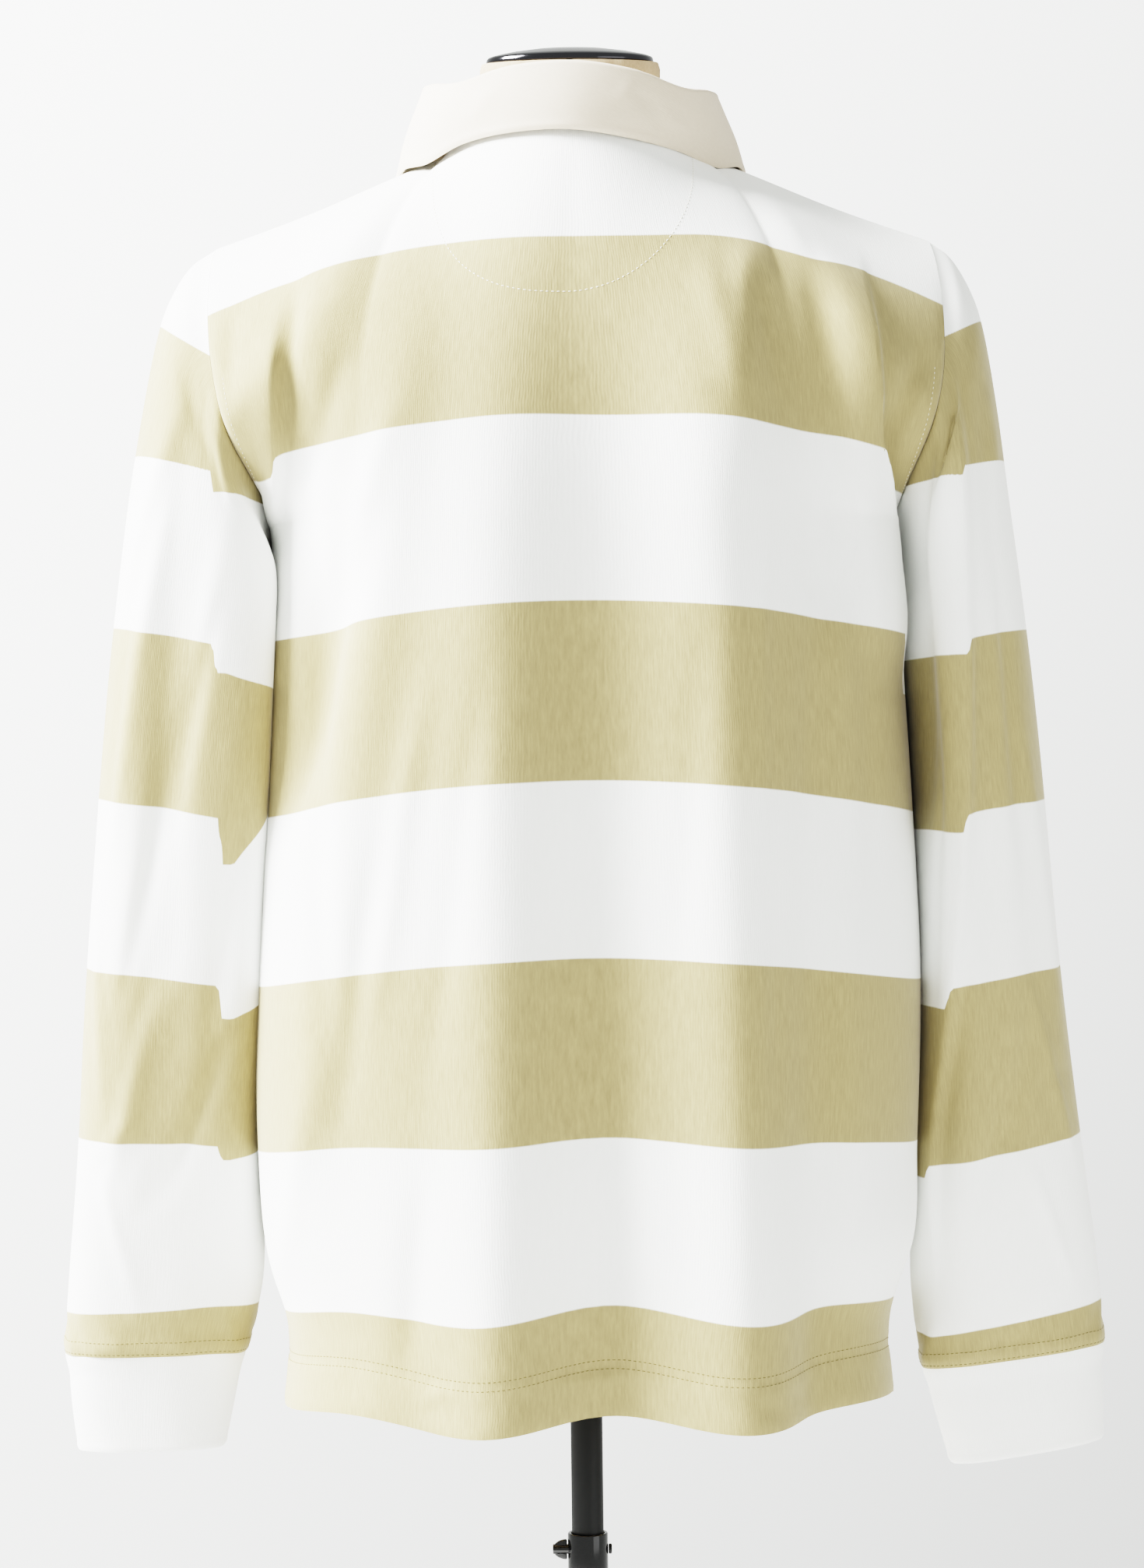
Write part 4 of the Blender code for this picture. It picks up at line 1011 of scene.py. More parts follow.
@dataclass
class ShirtBody:
    """The back and front panels, with the hem, the seams and the half-moon on the back."""

    hem_height: float = 767.0
    underarm_height: float = 1284.0
    roundness: float = 2.7
    wall: float = 1.4
    neck_share: float = 0.42
    neck_point_x: float = 74.0
    neck_point_height: float = 1506.5
    neck_curve_power: float = 1.6
    seam_y: float = 4.0
    back_neck: tuple[float, float] = (-78.0, 1511.0)
    front_neck: tuple[float, float] = (86.0, 1434.0)
    slot_share: float = 0.02
    armhole_pull: float = 2.4
    body_rows: int = 150
    yoke_rows: int = 84
    half_columns: int = 76
    hem_wave: float = 4.5
    hem_wave_length: float = 152.0
    hem_wave_low_x: float = -62.0
    hem_depth: float = 27.0
    hem_row_gap: float = 5.0
    rings: tuple[BodyRing, ...] = (
        BodyRing(760, 179, 183, 128, 124),
        BodyRing(812, 176.5, 181, 127, 123),
        BodyRing(861, 188.5, 196, 127, 122),
        BodyRing(915, 192.5, 198.5, 127, 122),
        BodyRing(1010, 192.5, 201.5, 128, 120),
        BodyRing(1112, 187.5, 198, 129, 120),
        BodyRing(1210, 181, 192.5, 132, 122),
        BodyRing(1284, 177, 188, 135, 124),
        BodyRing(1330, 177, 188, 137, 124),
    )
    shoulder_x: tuple[float, ...] = (74, 103, 154, 212)
    shoulder_height: tuple[float, ...] = (1506.5, 1495.2, 1473.8, 1452.0)
    yoke: tuple[YokePoint, ...] = (
        YokePoint(0.0, 0.42, 44, 0.42, 0.90, 0),
        YokePoint(0.22, 0.50, 60, 0.58, 0.80, 14),
        YokePoint(0.42, 0.62, 84, 0.89, 0.42, 22),
        YokePoint(0.62, 0.66, 92, 0.93, 0.37, 6),
        YokePoint(0.82, 0.58, 70, 0.92, 0.40, 0),
        YokePoint(1.0, 0.50, 44, 0.92, 0.40, 0),
    )
    armhole: tuple[ArmholePoint, ...] = (
        ArmholePoint(212.0, 212.0, 4, 1452),
        ArmholePoint(213.0, 213.5, -36, 1435),
        ArmholePoint(212.0, 214.5, -68, 1403),
        ArmholePoint(208.0, 213.0, -85, 1367),
        ArmholePoint(200.0, 206.0, -88, 1335),
        ArmholePoint(184.0, 193.0, -58, 1302),
        ArmholePoint(177.0, 188.0, 0, 1284),
        ArmholePoint(184.0, 193.0, 54, 1301),
        ArmholePoint(199.0, 204.0, 80, 1332),
        ArmholePoint(206.0, 210.0, 80, 1364),
        ArmholePoint(211.0, 212.0, 66, 1398),
        ArmholePoint(212.5, 213.0, 40, 1431),
    )
    back_folds: tuple[Fold, ...] = (
        Fold(-160, 1400, -146, 1020, 9, -2, -3),
        Fold(-94, 1380, -160, 930, 20, 4, 5),
        Fold(-92, 1220, -116, 767, 20, 0, 3),
        Fold(-43, 1350, -52, 740, 35, 6, 20),
        Fold(16, 1340, 16, 740, 32, -5, -13),
        Fold(80, 1420, 90, 740, 32, 10, 21),
        Fold(100, 1425, 94, 1310, 12, 4, 1),
        Fold(132, 1320, 134, 740, 20, -4, -10),
        Fold(136, 1420, 146, 1240, 14, -5, -5),
    )
    front_folds: tuple[Fold, ...] = (
        Fold(-120, 1360, -132, 740, 30, 4, 13),
        Fold(-62, 1240, -66, 740, 24, -1, -8),
        Fold(4, 1230, -4, 740, 36, 1, 10),
        Fold(70, 1240, 64, 740, 24, -1, -9),
        Fold(122, 1370, 128, 740, 30, 4, 14),
        Fold(-164, 1400, -152, 1120, 12, -6, -2),
        Fold(164, 1400, 158, 1120, 12, -6, -2),
    )
    back_edgings: tuple[Edging, ...] = (
        Edging(167, 1425, 187, 1210, 22, 2.6, 8.0, 0, 36, 1),
        Edging(-172, 1400, -172, 1285, 14, 3.0, 4.0, 2, 11, -1),
    )
    back_creases: tuple[Crease, ...] = (
        Crease(-163, 1368, 2, 120, 5, -3.4),
        Crease(-150, 1190, 12, 230, 15, -11.0),
        Crease(-177, 1180, 3, 250, 6, 3.5),
        Crease(-176, 1275, 0, 90, 9, 3.0),
        Crease(-199, 1375, 4, 90, 7, -1.6),
        Crease(188, 1345, 20, 90, 8, -4.5),
        Crease(168, 1268, -6, 130, 10, 3.5),
        Crease(84, 1390, -14, 110, 9, 2.2),
        Crease(112, 1380, -12, 120, 8, -2.4),
        Crease(131, 1392, -10, 90, 9, 2.0),
        Crease(148, 1360, -8, 120, 7, -2.0),
        Crease(104, 1180, 0, 330, 3.2, 1.3),
        Crease(110, 1020, -1, 220, 5.0, -1.4),
        Crease(120, 1150, 2, 240, 9.0, 1.8),
        Crease(62, 1120, 3, 300, 9.0, -1.6),
        Crease(40, 900, -4, 180, 10.0, 1.5),
        Crease(-8, 1010, 4, 260, 12.0, -1.8),
        Crease(-70, 1080, 6, 300, 8.0, -1.6),
        Crease(-104, 1090, 8, 260, 8.0, 2.2),
        Crease(-128, 1010, 7, 230, 9.0, -2.2),
        Crease(-140, 1180, 10, 200, 9.0, 1.8),
        Crease(-120, 1290, 14, 150, 8.0, 2.0),
        Crease(-144, 1335, 16, 120, 8.0, -1.8),
        Crease(-96, 850, 4, 150, 9.0, -2.0),
        Crease(154, 980, -4, 240, 9.0, 2.0),
        Crease(168, 1120, -3, 220, 8.0, -1.8),
        Crease(150, 1220, -6, 150, 7.0, 1.6),
        Crease(-168, 900, 8, 190, 8.0, 1.8),
        Crease(4, 792, 82, 60, 4.0, 0.7),
        Crease(-30, 795, 60, 40, 5.0, 0.9),
        Crease(30, 783, -30, 30, 4.0, -0.9),
        Crease(-84, 786, 70, 50, 4.0, 0.8),
        Crease(100, 780, -60, 46, 5.0, -0.9),
    )
    front_creases: tuple[Crease, ...] = (
        Crease(-104, 1340, 24, 150, 9, 2.4),
        Crease(-132, 1320, 18, 130, 8, -2.2),
        Crease(108, 1340, -24, 150, 9, 2.2),
        Crease(136, 1316, -18, 130, 8, -2.2),
        Crease(-30, 1120, 5, 240, 9, 1.6),
        Crease(36, 1080, -4, 260, 10, -1.8),
        Crease(90, 1010, -4, 260, 9, 2.0),
        Crease(-92, 1000, 5, 240, 9, 2.0),
        Crease(-150, 1060, 6, 260, 9, -2.0),
        Crease(152, 1080, -5, 240, 9, -2.0),
        Crease(20, 860, 5, 150, 9, 1.8),
        Crease(-24, 880, -6, 160, 8, -1.6),
    )
    droop_z: tuple[float, ...] = (768, 830, 928, 1031, 1132, 1234, 1339, 1440)
    droop: tuple[float, ...] = (3, 7.5, 11, 19.5, 20.5, 20, 20, 26.7)
    droop_power: tuple[float, float] = (2.0, 2.8)
    droop_reach: float = 1.25
    map_half_width: float = 262.0
    yoke_map_rise: float = 18.0
    half_moon_centre: tuple[float, float] = (-5.0, 1490.0)
    half_moon_reach: tuple[float, float] = (76.0, 80.5)
    half_moon_powers: tuple[float, float] = (2.7, 2.0)
    half_moon_top: float = 1507.0

    def half_width(self, share: Array, height: Array) -> Array:
        """The body's half-width at a height, on the side that share's sign gives."""
        heights = column(self.rings, "height")
        left = through(heights, column(self.rings, "left"), height)
        right = through(heights, column(self.rings, "right"), height)
        return np.where(share < 0, left, right)

    def ring_point(self, share: Array, height: Array, face: Face) -> Array:
        """A point of the body's ring: share is -1 and 1 at the side seams."""
        turn = np.abs(share) * math.pi / 2
        power = 2 / self.roundness
        across = np.sign(share) * np.sin(turn) ** power * self.half_width(share, height)
        reach = column(self.rings, "back" if face is Face.BACK else "front")
        depth = through(column(self.rings, "height"), reach, height)
        return stacked(across, face.value * depth * np.abs(np.cos(turn)) ** power, height)

    def armhole_point(self, number: Array, side: Side) -> Array:
        """A point of the armhole seam, numbered as its table."""
        name = "right_x" if side is Side.RIGHT else "left_x"
        x = side.value * round_loop(column(self.armhole, name), number)
        y = round_loop(column(self.armhole, "y"), number)
        return stacked(x, y, round_loop(column(self.armhole, "height"), number))

    def armhole_number(self, rise: Array, face: Face) -> Array:
        """Where a panel's armhole edge is in the table: rise is 0 below and 1 on top."""
        half = len(self.armhole) / 2
        return half + face.value * rise * half

    def armhole_normal(self, number: Array, side: Side) -> Array:
        """The armhole seam's own outward direction."""
        points = self.armhole_point(number, side)
        turn = number * 2 * math.pi / len(self.armhole)
        lean = side.value * 0.35 * np.clip(np.cos(turn), 0, 1)
        middle_y = column(self.armhole, "y").mean()
        middle_z = column(self.armhole, "height").mean()
        away = stacked(0 * turn, points[..., 1] - middle_y, points[..., 2] - middle_z)
        return unit(unit(away) + stacked(lean, 0, 0))

    def top_point(self, share: Array, face: Face) -> Array:
        """A point of a panel's top edge: the neckline, then the shoulder seam."""
        amount = np.abs(share)
        turn = np.clip(amount / self.neck_share, 0, 1) * math.pi / 2
        neck_y, neck_z = self.back_neck if face is Face.BACK else self.front_neck
        x_neck = self.neck_point_x * np.sin(turn)
        y_neck = self.seam_y + (neck_y - self.seam_y) * np.cos(turn)
        fall = np.cos(turn) ** self.neck_curve_power
        z_neck = self.neck_point_height + (neck_z - self.neck_point_height) * fall
        out = np.clip((amount - self.neck_share) / (1 - self.neck_share), 0, 1)
        x_out = self.neck_point_x + out * (self.shoulder_x[-1] - self.neck_point_x)
        z_out = through(self.shoulder_x, self.shoulder_height, x_out)
        on_neck = amount <= self.neck_share
        x = np.sign(share) * np.where(on_neck, x_neck, x_out)
        y = np.where(on_neck, y_neck, self.seam_y)
        return stacked(x, y, np.where(on_neck, z_neck, z_out))

    def yoke_column(self, share: Array, rise: Array, face: Face) -> Array:
        """A column above the underarm, before the armhole's edge bends it."""
        foot = self.ring_point(share, np.full_like(share, self.underarm_height), face)
        top = self.top_point(share, face)
        places = column(self.yoke, "share")
        names = YokePoint._fields[1:]
        read = {name: through(places, column(self.yoke, name), np.abs(share)) for name in names}
        foot_handle = foot + stacked(0, 0, (top[..., 2] - foot[..., 2]) * read["start"])
        lean = np.radians(read["inward"])
        across = -np.sign(share) * read["forward"] * np.sin(lean)
        along = -face.value * read["forward"] * np.cos(lean)
        way = unit(stacked(across, along, read["upward"]))
        top_handle = top - way * read["reach"][..., None]
        t = rise[..., None]
        start = (1 - t) ** 3 * foot + 3 * t * (1 - t) ** 2 * foot_handle
        return start + 3 * t**2 * (1 - t) * top_handle + t**3 * top

    def smooth(self, share: Array, level: Array, face: Face) -> Array:
        """The panel without folds: level is 0 at the hem, 1 under the arm and 2 on top."""
        share, level = np.broadcast_arrays(np.asarray(share, float), np.asarray(level, float))
        rise_to = self.underarm_height - self.hem_height
        body = self.ring_point(share, self.hem_height + np.clip(level, 0, 1) * rise_to, face)
        rise = np.clip(level - 1, 0, 1)
        number = self.armhole_number(rise, face)
        edge_left = self.armhole_point(number, Side.LEFT)
        edge_right = self.armhole_point(number, Side.RIGHT)
        side = np.where(share < 0, -1.0, 1.0)
        edge = np.where((side < 0)[..., None], edge_left, edge_right)
        pull = edge - self.yoke_column(side, rise, face)
        pulled = (np.abs(share) ** self.armhole_pull)[..., None] * pull
        yoke = self.yoke_column(share, rise, face) + pulled
        return np.where((level > 1)[..., None], yoke, body)

    @staticmethod
    def fold_height(x: Array, z: Array, folds: Sequence[Fold]) -> Array:
        """How far the soft folds stand out at a place on a panel."""
        total = np.zeros_like(x)
        for fold in folds:
            run = (fold.top_z - z) / (fold.top_z - fold.foot_z)
            crest = fold.top_x + run * (fold.foot_x - fold.top_x)
            height = fold.top_height + np.clip(run, 0, 1) * (fold.foot_height - fold.top_height)
            fade = ease(-0.22, 0.12, run) * (1 - ease(0.95, 1.25, run))
            total += height * fade * hump(x, crest, fold.half_width)
        return total

    @staticmethod
    def edging_height(x: Array, z: Array, edgings: Sequence[Edging]) -> tuple[Array, Array]:
        """The relief of the tucked folds, and how far stripes slip down past them."""
        relief, slip = np.zeros_like(x), np.zeros_like(x)
        for tuck in edgings:
            run = (tuck.top_z - z) / (tuck.top_z - tuck.foot_z)
            crest = tuck.top_x + run * (tuck.foot_x - tuck.top_x)
            past = (x - crest) * np.sign(tuck.top_x)
            width = np.where(past * tuck.steep_way < 0, tuck.soft_width, tuck.steep_width)
            fade = ease(-0.1, 0.35, run) * (1 - ease(0.9, 1.15, run))
            relief += tuck.height * fade * hump(past, 0, width)
            drop = tuck.top_slip + np.clip(run, 0, 1.1) * (tuck.foot_slip - tuck.top_slip)
            slip += drop * ease(-0.05, 0.1, run) * (1 - ease(1.05, 1.4, run)) * ease(-0.8, 0.8, past)
        return relief, slip

    def stripe_level(self, points: Array, share: Array, slip: Array) -> Array:
        """The level each point's colour is read at: stripes droop towards the sides."""
        z = points[..., 2]
        bow = through(self.droop_z, self.droop, z)
        width = self.half_width(share, z)
        low, high = self.droop_z[-2:]
        first, last = self.droop_power
        power = first + ease(low, high, z) * (last - first)
        aside = np.clip(np.abs(points[..., 0]) / width, 0, self.droop_reach)
        return z + bow * aside**power + slip

    def sheet(self, face: Face) -> Cloth:
        """A whole panel with its folds, creases, seams and hem."""
        half = np.linspace(0, 1, self.half_columns + 1)
        if face is Face.FRONT:
            half[0] = self.slot_share
            shares = np.concatenate([-half[::-1], half])
        else:
            shares = np.concatenate([-half[:0:-1], half])
        low = np.linspace(0, 1, self.body_rows + 1)
        levels = np.concatenate([low, 1 + np.linspace(0, 1, self.yoke_rows + 1)[1:]])
        share, level = np.meshgrid(shares, levels)
        points = self.smooth(share, level, face)
        order = 1 if face is Face.BACK else -1
        normals = grid_normals(points, False) * order
        margin = ease(0, 0.14, 1 - np.abs(share)) * ease(0, 0.3, 2 - level)
        folds = self.back_folds if face is Face.BACK else self.front_folds
        x, z = points[..., 0], points[..., 2]
        relief = margin * self.fold_height(x, z, folds)
        slip = np.zeros_like(x)
        if face is Face.BACK:
            tucks, slip = self.edging_height(x, z, self.back_edgings)
            relief += tucks * ease(0, 0.06, 1 - np.abs(share))
        stripe = self.stripe_level(points, share, slip)
        points = points + normals * relief[..., None]
        wave = np.cos(2 * math.pi * (x - self.hem_wave_low_x) / self.hem_wave_length)
        points[..., 2] -= self.hem_wave * wave * margin * (1 - ease(0, 0.5, level))
        up = z + self.yoke_map_rise * (level > 1) * (level - 1)
        flat = np.stack([share * self.map_half_width, up], axis=-1)
        fresh = grid_normals(points, False) * order
        cloth = Cloth(points, fresh, flat, stripe)
        self.add_fine_relief(cloth, share, level, face)
        self.set_seam_normals(cloth, levels, face)
        if face is Face.FRONT:
            cloth.open_column = self.half_columns
            cloth.open_row = self.body_rows
            return cloth.flipped(1)
        return cloth

    def add_fine_relief(self, cloth: Cloth, share: Array, level: Array, face: Face) -> None:
        """Creases, rolled seams, and the hem's turned edge with its puckers."""
        x, z = cloth.points[..., 0], cloth.points[..., 2]
        creases = self.back_creases if face is Face.BACK else self.front_creases
        inside = ease(0, 0.08, 1 - np.abs(share)) * ease(0, 0.2, 2 - level)
        relief = inside * crease_height(x, z, creases)
        relief += 0.35 * inside * unevenness(x / 23, z / 61, 0.7 * face.value)
        aside = cloth.distance_from_sides()
        relief += seam_roll(aside) * (1 - ease(*SEAM_ROLL_END, z))
        below_top = cloth.distance_from(Edge.LAST_ROW)
        beside_neck = ease(self.neck_share - 0.01, self.neck_share + 0.03, np.abs(share))
        relief += beside_neck * seam_roll(below_top)
        above_hem = cloth.distance_from(Edge.FIRST_ROW)
        rows = self.hem_depth
        turned = 1 - ease(rows - 1, rows + 2, above_hem)
        relief += 0.5 * turned
        for row in (rows, rows + self.hem_row_gap):
            relief -= 0.45 * hump(above_hem, row, 1.3)
        near = hump(above_hem, rows - 4, 9)
        relief += 0.34 * near * unevenness(x / 3.1, z / 9.0, 1.3)
        relief += 0.5 * turned * unevenness(x / 13.0, z / 8.0, 2.9)
        cloth.raise_by(relief - 0.5 * hump(above_hem, 0, 1.5))

    def set_seam_normals(self, cloth: Cloth, levels: Array, face: Face) -> None:
        """Turns the walls at the armholes so that they meet the sleeves' walls."""
        rows = slice(self.body_rows, None)
        number = self.armhole_number(levels[rows] - 1, face)
        for cell, side in ((0, Side.LEFT), (-1, Side.RIGHT)):
            cloth.normals[rows, cell] = self.armhole_normal(number, side)

    def half_moon(self, cloth: Cloth) -> tuple[Array, Array]:
        """The half-moon's line on the back panel, found by rays that meet the cloth."""
        tree = cloth.tree()
        (middle, rise), (half, depth) = self.half_moon_centre, self.half_moon_reach
        places = [(middle + half, z) for z in np.arange(self.half_moon_top, rise, -2.0)]
        for turn in np.linspace(0, math.pi, 240):
            power = 2 / self.half_moon_powers[0 if turn > math.pi / 2 else 1]
            across = math.copysign(abs(math.cos(turn)) ** power, math.cos(turn))
            places.append((middle + half * across, rise - depth * math.sin(turn) ** power))
        places += [(middle - half, z) for z in np.arange(rise, self.half_moon_top, 2.0)]
        line, facing = [], []
        for x, z in places:
            met, normal, _, _ = tree.ray_cast(Vector((x, -400, z)), Vector((0, 1, 0)))
            if met:
                line.append(met[:])
                facing.append(normal[:] if normal.y < 0 else (-normal)[:])
        return np.array(line), np.array(facing)

    def build(self) -> None:
        """Builds both panels and their sewing."""
        back, front = self.sheet(Face.BACK), self.sheet(Face.FRONT)
        for name, cloth in (("back_panel", back), ("front_panel", front)):
            piece = cloth.wall(name.replace("panel", "cloth"), self.wall, JERSEY)
            join_piece(piece, FIGURE, (name,))
            cloth.declare(piece, "hung", "form_torso")
        # The hem rows' thread colour carries painted shade for the stitches' small shadows.
        sewing = StitchRow("body_sewing", GREEN_THREAD_PAINTED_SHADE, length=2.0, pitch=3.0)
        for cloth in (back, front):
            for offset in (0.0, self.hem_row_gap):
                sewing.sew(*cloth.along_edge(Edge.FIRST_ROW, self.hem_depth + offset, slice(2, -2)))
        join_piece(sewing.build(), FIGURE)
        low_yoke = slice(self.body_rows + 2, self.body_rows + self.yoke_rows // 2)
        armhole = StitchRow("armhole_sewing", PALE_THREAD, length=1.6, pitch=3.1, radius=0.2)
        for cloth in (back, front):
            for edge in (Edge.FIRST_COLUMN, Edge.LAST_COLUMN):
                armhole.sew(*cloth.along_edge(edge, 8.0, low_yoke))
        join_piece(armhole.build(), FIGURE)
        moon = StitchRow("half_moon_sewing", PALE_THREAD, length=1.9, pitch=3.2, radius=0.3)
        moon.sew(*self.half_moon(back))
        join_piece(moon.build(), FIGURE)


# ---------------------------------------------------------------- sleeves and cuffs


@dataclass
class Sleeve:
    """A hanging sleeve, its cuff and their sewing."""

    side: Side
    body: ShirtBody
    rings: tuple[SleeveRing, ...]
    cuff_rings: tuple[SleeveRing, ...]
    folds: tuple[SleeveFold, ...]
    runs: tuple[StripeRun, ...]
    fold_line: tuple[FoldPlace, ...]
    creases: tuple[Crease, ...]
    tuck: SleeveTuck
    roundness: float = 2.6
    wall: float = 1.4
    blend: float = 3.2
    rows: int = 190
    cuff_rows: int = 26
    cells: int = 180
    mean_radius: float = 62.0
    tuck_foot: tuple[float, float] = (815.0, 900.0)
    tuck_top: tuple[float, float] = (1345.0, 1410.0)
    tuck_outer_turn: tuple[float, float] = (0.2, 0.6)
    tuck_inner_turn: tuple[float, float] = (2.9, 3.3)
    stepped_share: float = 0.2
    cuff_level: float = 880.0
    cuff_inset: float = 0.6
    held_by_seam: tuple[float, float] = (6.0, 40.0)
    cuff_hang: float = 14.0
    hem_rows: tuple[float, float] = (1.8, 9.0)

    @property
    def word(self) -> str:
        """The side's word in piece names."""
        return self.side.name.lower()

    def armhole_numbers(self) -> Array:
        """Where the sleeve's columns start on the armhole, numbered as its table."""
        return np.arange(self.cells) * len(self.body.armhole) / self.cells

    def ring_point(self, rings: tuple[SleeveRing, ...], place: Array, turn: Array) -> Array:
        """A point of the sleeve: place counts the table's rows, turn goes round it."""
        rows = np.arange(len(rings))
        read = {name: through(rows, column(rings, name), place) for name in SleeveRing._fields}
        power = 2 / self.roundness
        out = np.sign(np.cos(turn)) * np.abs(np.cos(turn)) ** power
        back = np.sign(np.sin(turn)) * np.abs(np.sin(turn)) ** power
        middle_x = (read["outer_x"] + read["inner_x"]) / 2
        middle_z = (read["outer_z"] + read["inner_z"]) / 2
        x = middle_x + out * (read["outer_x"] - read["inner_x"]) / 2
        z = middle_z + out * (read["outer_z"] - read["inner_z"]) / 2
        return stacked(self.side.value * x, read["middle_y"] - back * read["depth"] / 2, z)

    def fold_height(self, turn: Array, z: Array) -> Array:
        """How far the sleeve's soft folds stand out."""
        total = np.zeros_like(turn)
        for fold in self.folds:
            run = (fold.top_z - z) / (fold.top_z - fold.foot_z)
            crest = np.radians(fold.turn + run * (fold.foot_turn - fold.turn))
            off = (turn - crest + math.pi) % (2 * math.pi) - math.pi
            fade = ease(-0.1, 0.3, run) * (1 - ease(0.75, 1.1, run))
            total += fold.height * fade * hump(off, 0, math.radians(fold.half_turn))
        return total

    def past_fold(self, points: Array) -> Array:
        """How far each point is past the sleeve's main fold, towards the body."""
        places = column(self.fold_line, "height")[::-1]
        reach = through(places, column(self.fold_line, "reach")[::-1], points[..., 2])
        return reach - np.abs(points[..., 0])

    def tuck_height(self, turn: Array, points: Array) -> Array:
        """A crest with a steep side down the back, where the cloth tucks under."""
        past = self.past_fold(points) - self.tuck.shift
        width = np.where(past < 0, self.tuck.outer_width, self.tuck.inner_width)
        z = points[..., 2]
        fade = ease(*self.tuck_foot, z) * (1 - ease(*self.tuck_top, z))
        on_back = ease(*self.tuck_outer_turn, turn) * (1 - ease(*self.tuck_inner_turn, turn))
        return self.tuck.height * fade * on_back * hump(past, 0, width)

    def stripe_level(self, turn: Array, points: Array) -> Array:
        """The level on the body that each point's colour is read at."""
        z = points[..., 2]
        past = self.past_fold(points)
        across = np.abs(points[..., 0])
        reach = across + past
        upward = self.rings[::-1]
        outer = np.interp(z, column(upward, "outer_z"), column(upward, "outer_x"))
        inner = np.interp(z, column(upward, "inner_z"), column(upward, "inner_x"))
        before = np.clip(1 + past / (outer - reach), 0, 1)
        after = np.clip((past / (reach - inner) - self.stepped_share) / (1 - self.stepped_share), 0, 1)
        over = ease(-0.8, 0.8, past)
        plain = np.clip((outer - across) / (outer - inner), 0, 1)
        knots = []
        for run in self.runs:
            folded = run.lean * before + over * (run.step * (1 - after) + run.end * after)
            drop = np.where(turn < math.pi, folded, (run.lean + run.end) * plain)
            knots.append(run.outer_z - drop)
        level = self.runs[0].level + (z - knots[0]) * (z > knots[0])
        for high, low, upper, lower in zip(knots, knots[1:], self.runs, self.runs[1:]):
            level = level + (lower.level - upper.level) * np.clip((high - z) / (high - low), 0, 1)
        return level

    def sheet(self, rings: tuple[SleeveRing, ...], rows: int, from_armhole: bool) -> Cloth:
        """The sleeve's or the cuff's sheet, its rows from top to bottom."""
        numbers = self.armhole_numbers()
        turn = numbers * 2 * math.pi / len(self.body.armhole)
        turns, place = np.meshgrid(turn, np.linspace(0, 1, rows + 1) * (len(rings) - 1))
        points = self.ring_point(rings, place, turns)
        if from_armhole:
            seam = self.body.armhole_point(numbers, self.side)
            keep = 1 - ease(0, self.blend, place)
            points += keep[..., None] * (seam - points[0])
        normals = grid_normals(points, True) * self.side.value
        fade = ease(0, 2.5, place) if from_armhole else np.ones_like(place)
        relief = fade * self.fold_height(turns, points[..., 2])
        stripe = self.stripe_level(turns, points)
        if from_armhole:
            relief = relief + fade * self.tuck_height(turns, points)
        arc = self.side.value * turns * self.mean_radius
        flat = np.stack([arc, points[..., 2]], axis=-1)
        cloth = Cloth(points, normals, flat, stripe, wrap=True)
        cloth.girth = self.side.value * 2 * math.pi * self.mean_radius
        cloth.raise_by(relief)
        return cloth

    def dress_sleeve(self, cloth: Cloth) -> None:
        """Creases, the rolled armhole seam and the puckered band above the cuff."""
        arc = cloth.flat[..., 0] * self.side.value
        z = cloth.points[..., 2]
        from_seam = cloth.distance_from(Edge.FIRST_ROW)
        free = ease(*self.held_by_seam, from_seam)
        relief = free * crease_height(arc, z, self.creases)
        relief += 0.4 * free * unevenness(arc / 17, z / 47, 1.1 * self.side.value)
        relief += seam_roll(from_seam) * (1 - ease(*SEAM_ROLL_END, z))
        above = cloth.distance_from(Edge.LAST_ROW)
        band = hump(above, 14, 13)
        relief += 1.6 * band * unevenness(arc / 7.0 + z / 11.0, z / 13.0, 0.4)
        low, high = self.hem_rows
        relief += 0.9 * (1 - ease(high, high + 2, above))
        for row in (low, high):
            relief -= 0.4 * hump(above, row, 1.2)
        relief += 0.3 * hump(above, 6, 4) * unevenness(arc / 2.4, z / 30, 4.1)
        cloth.raise_by(relief - 0.9 * hump(above, 0, 1.1))

    def dress_cuff(self, cloth: Cloth, sleeve_foot: Array) -> None:
        """The cuff hangs from inside the sleeve's hem, with its own soft dents."""
        hang = cloth.distance_from(Edge.FIRST_ROW)
        offset = sleeve_foot - cloth.points[0]
        cloth.points = cloth.points + (1 - ease(0, self.cuff_hang, hang))[..., None] * offset
        cloth.normals = grid_normals(cloth.points, True) * self.side.value
        arc = cloth.flat[..., 0] * self.side.value
        z = cloth.points[..., 2]
        relief = 0.5 * unevenness(arc / 12, z / 20, 3.3 * self.side.value) - self.cuff_inset
        above = cloth.distance_from(Edge.LAST_ROW)
        relief += 0.4 * (1 - ease(2, 4, above)) - 0.7 * hump(above, 0, 1.2)
        cloth.raise_by(relief)
        cloth.stripe = np.full_like(cloth.stripe, self.cuff_level)

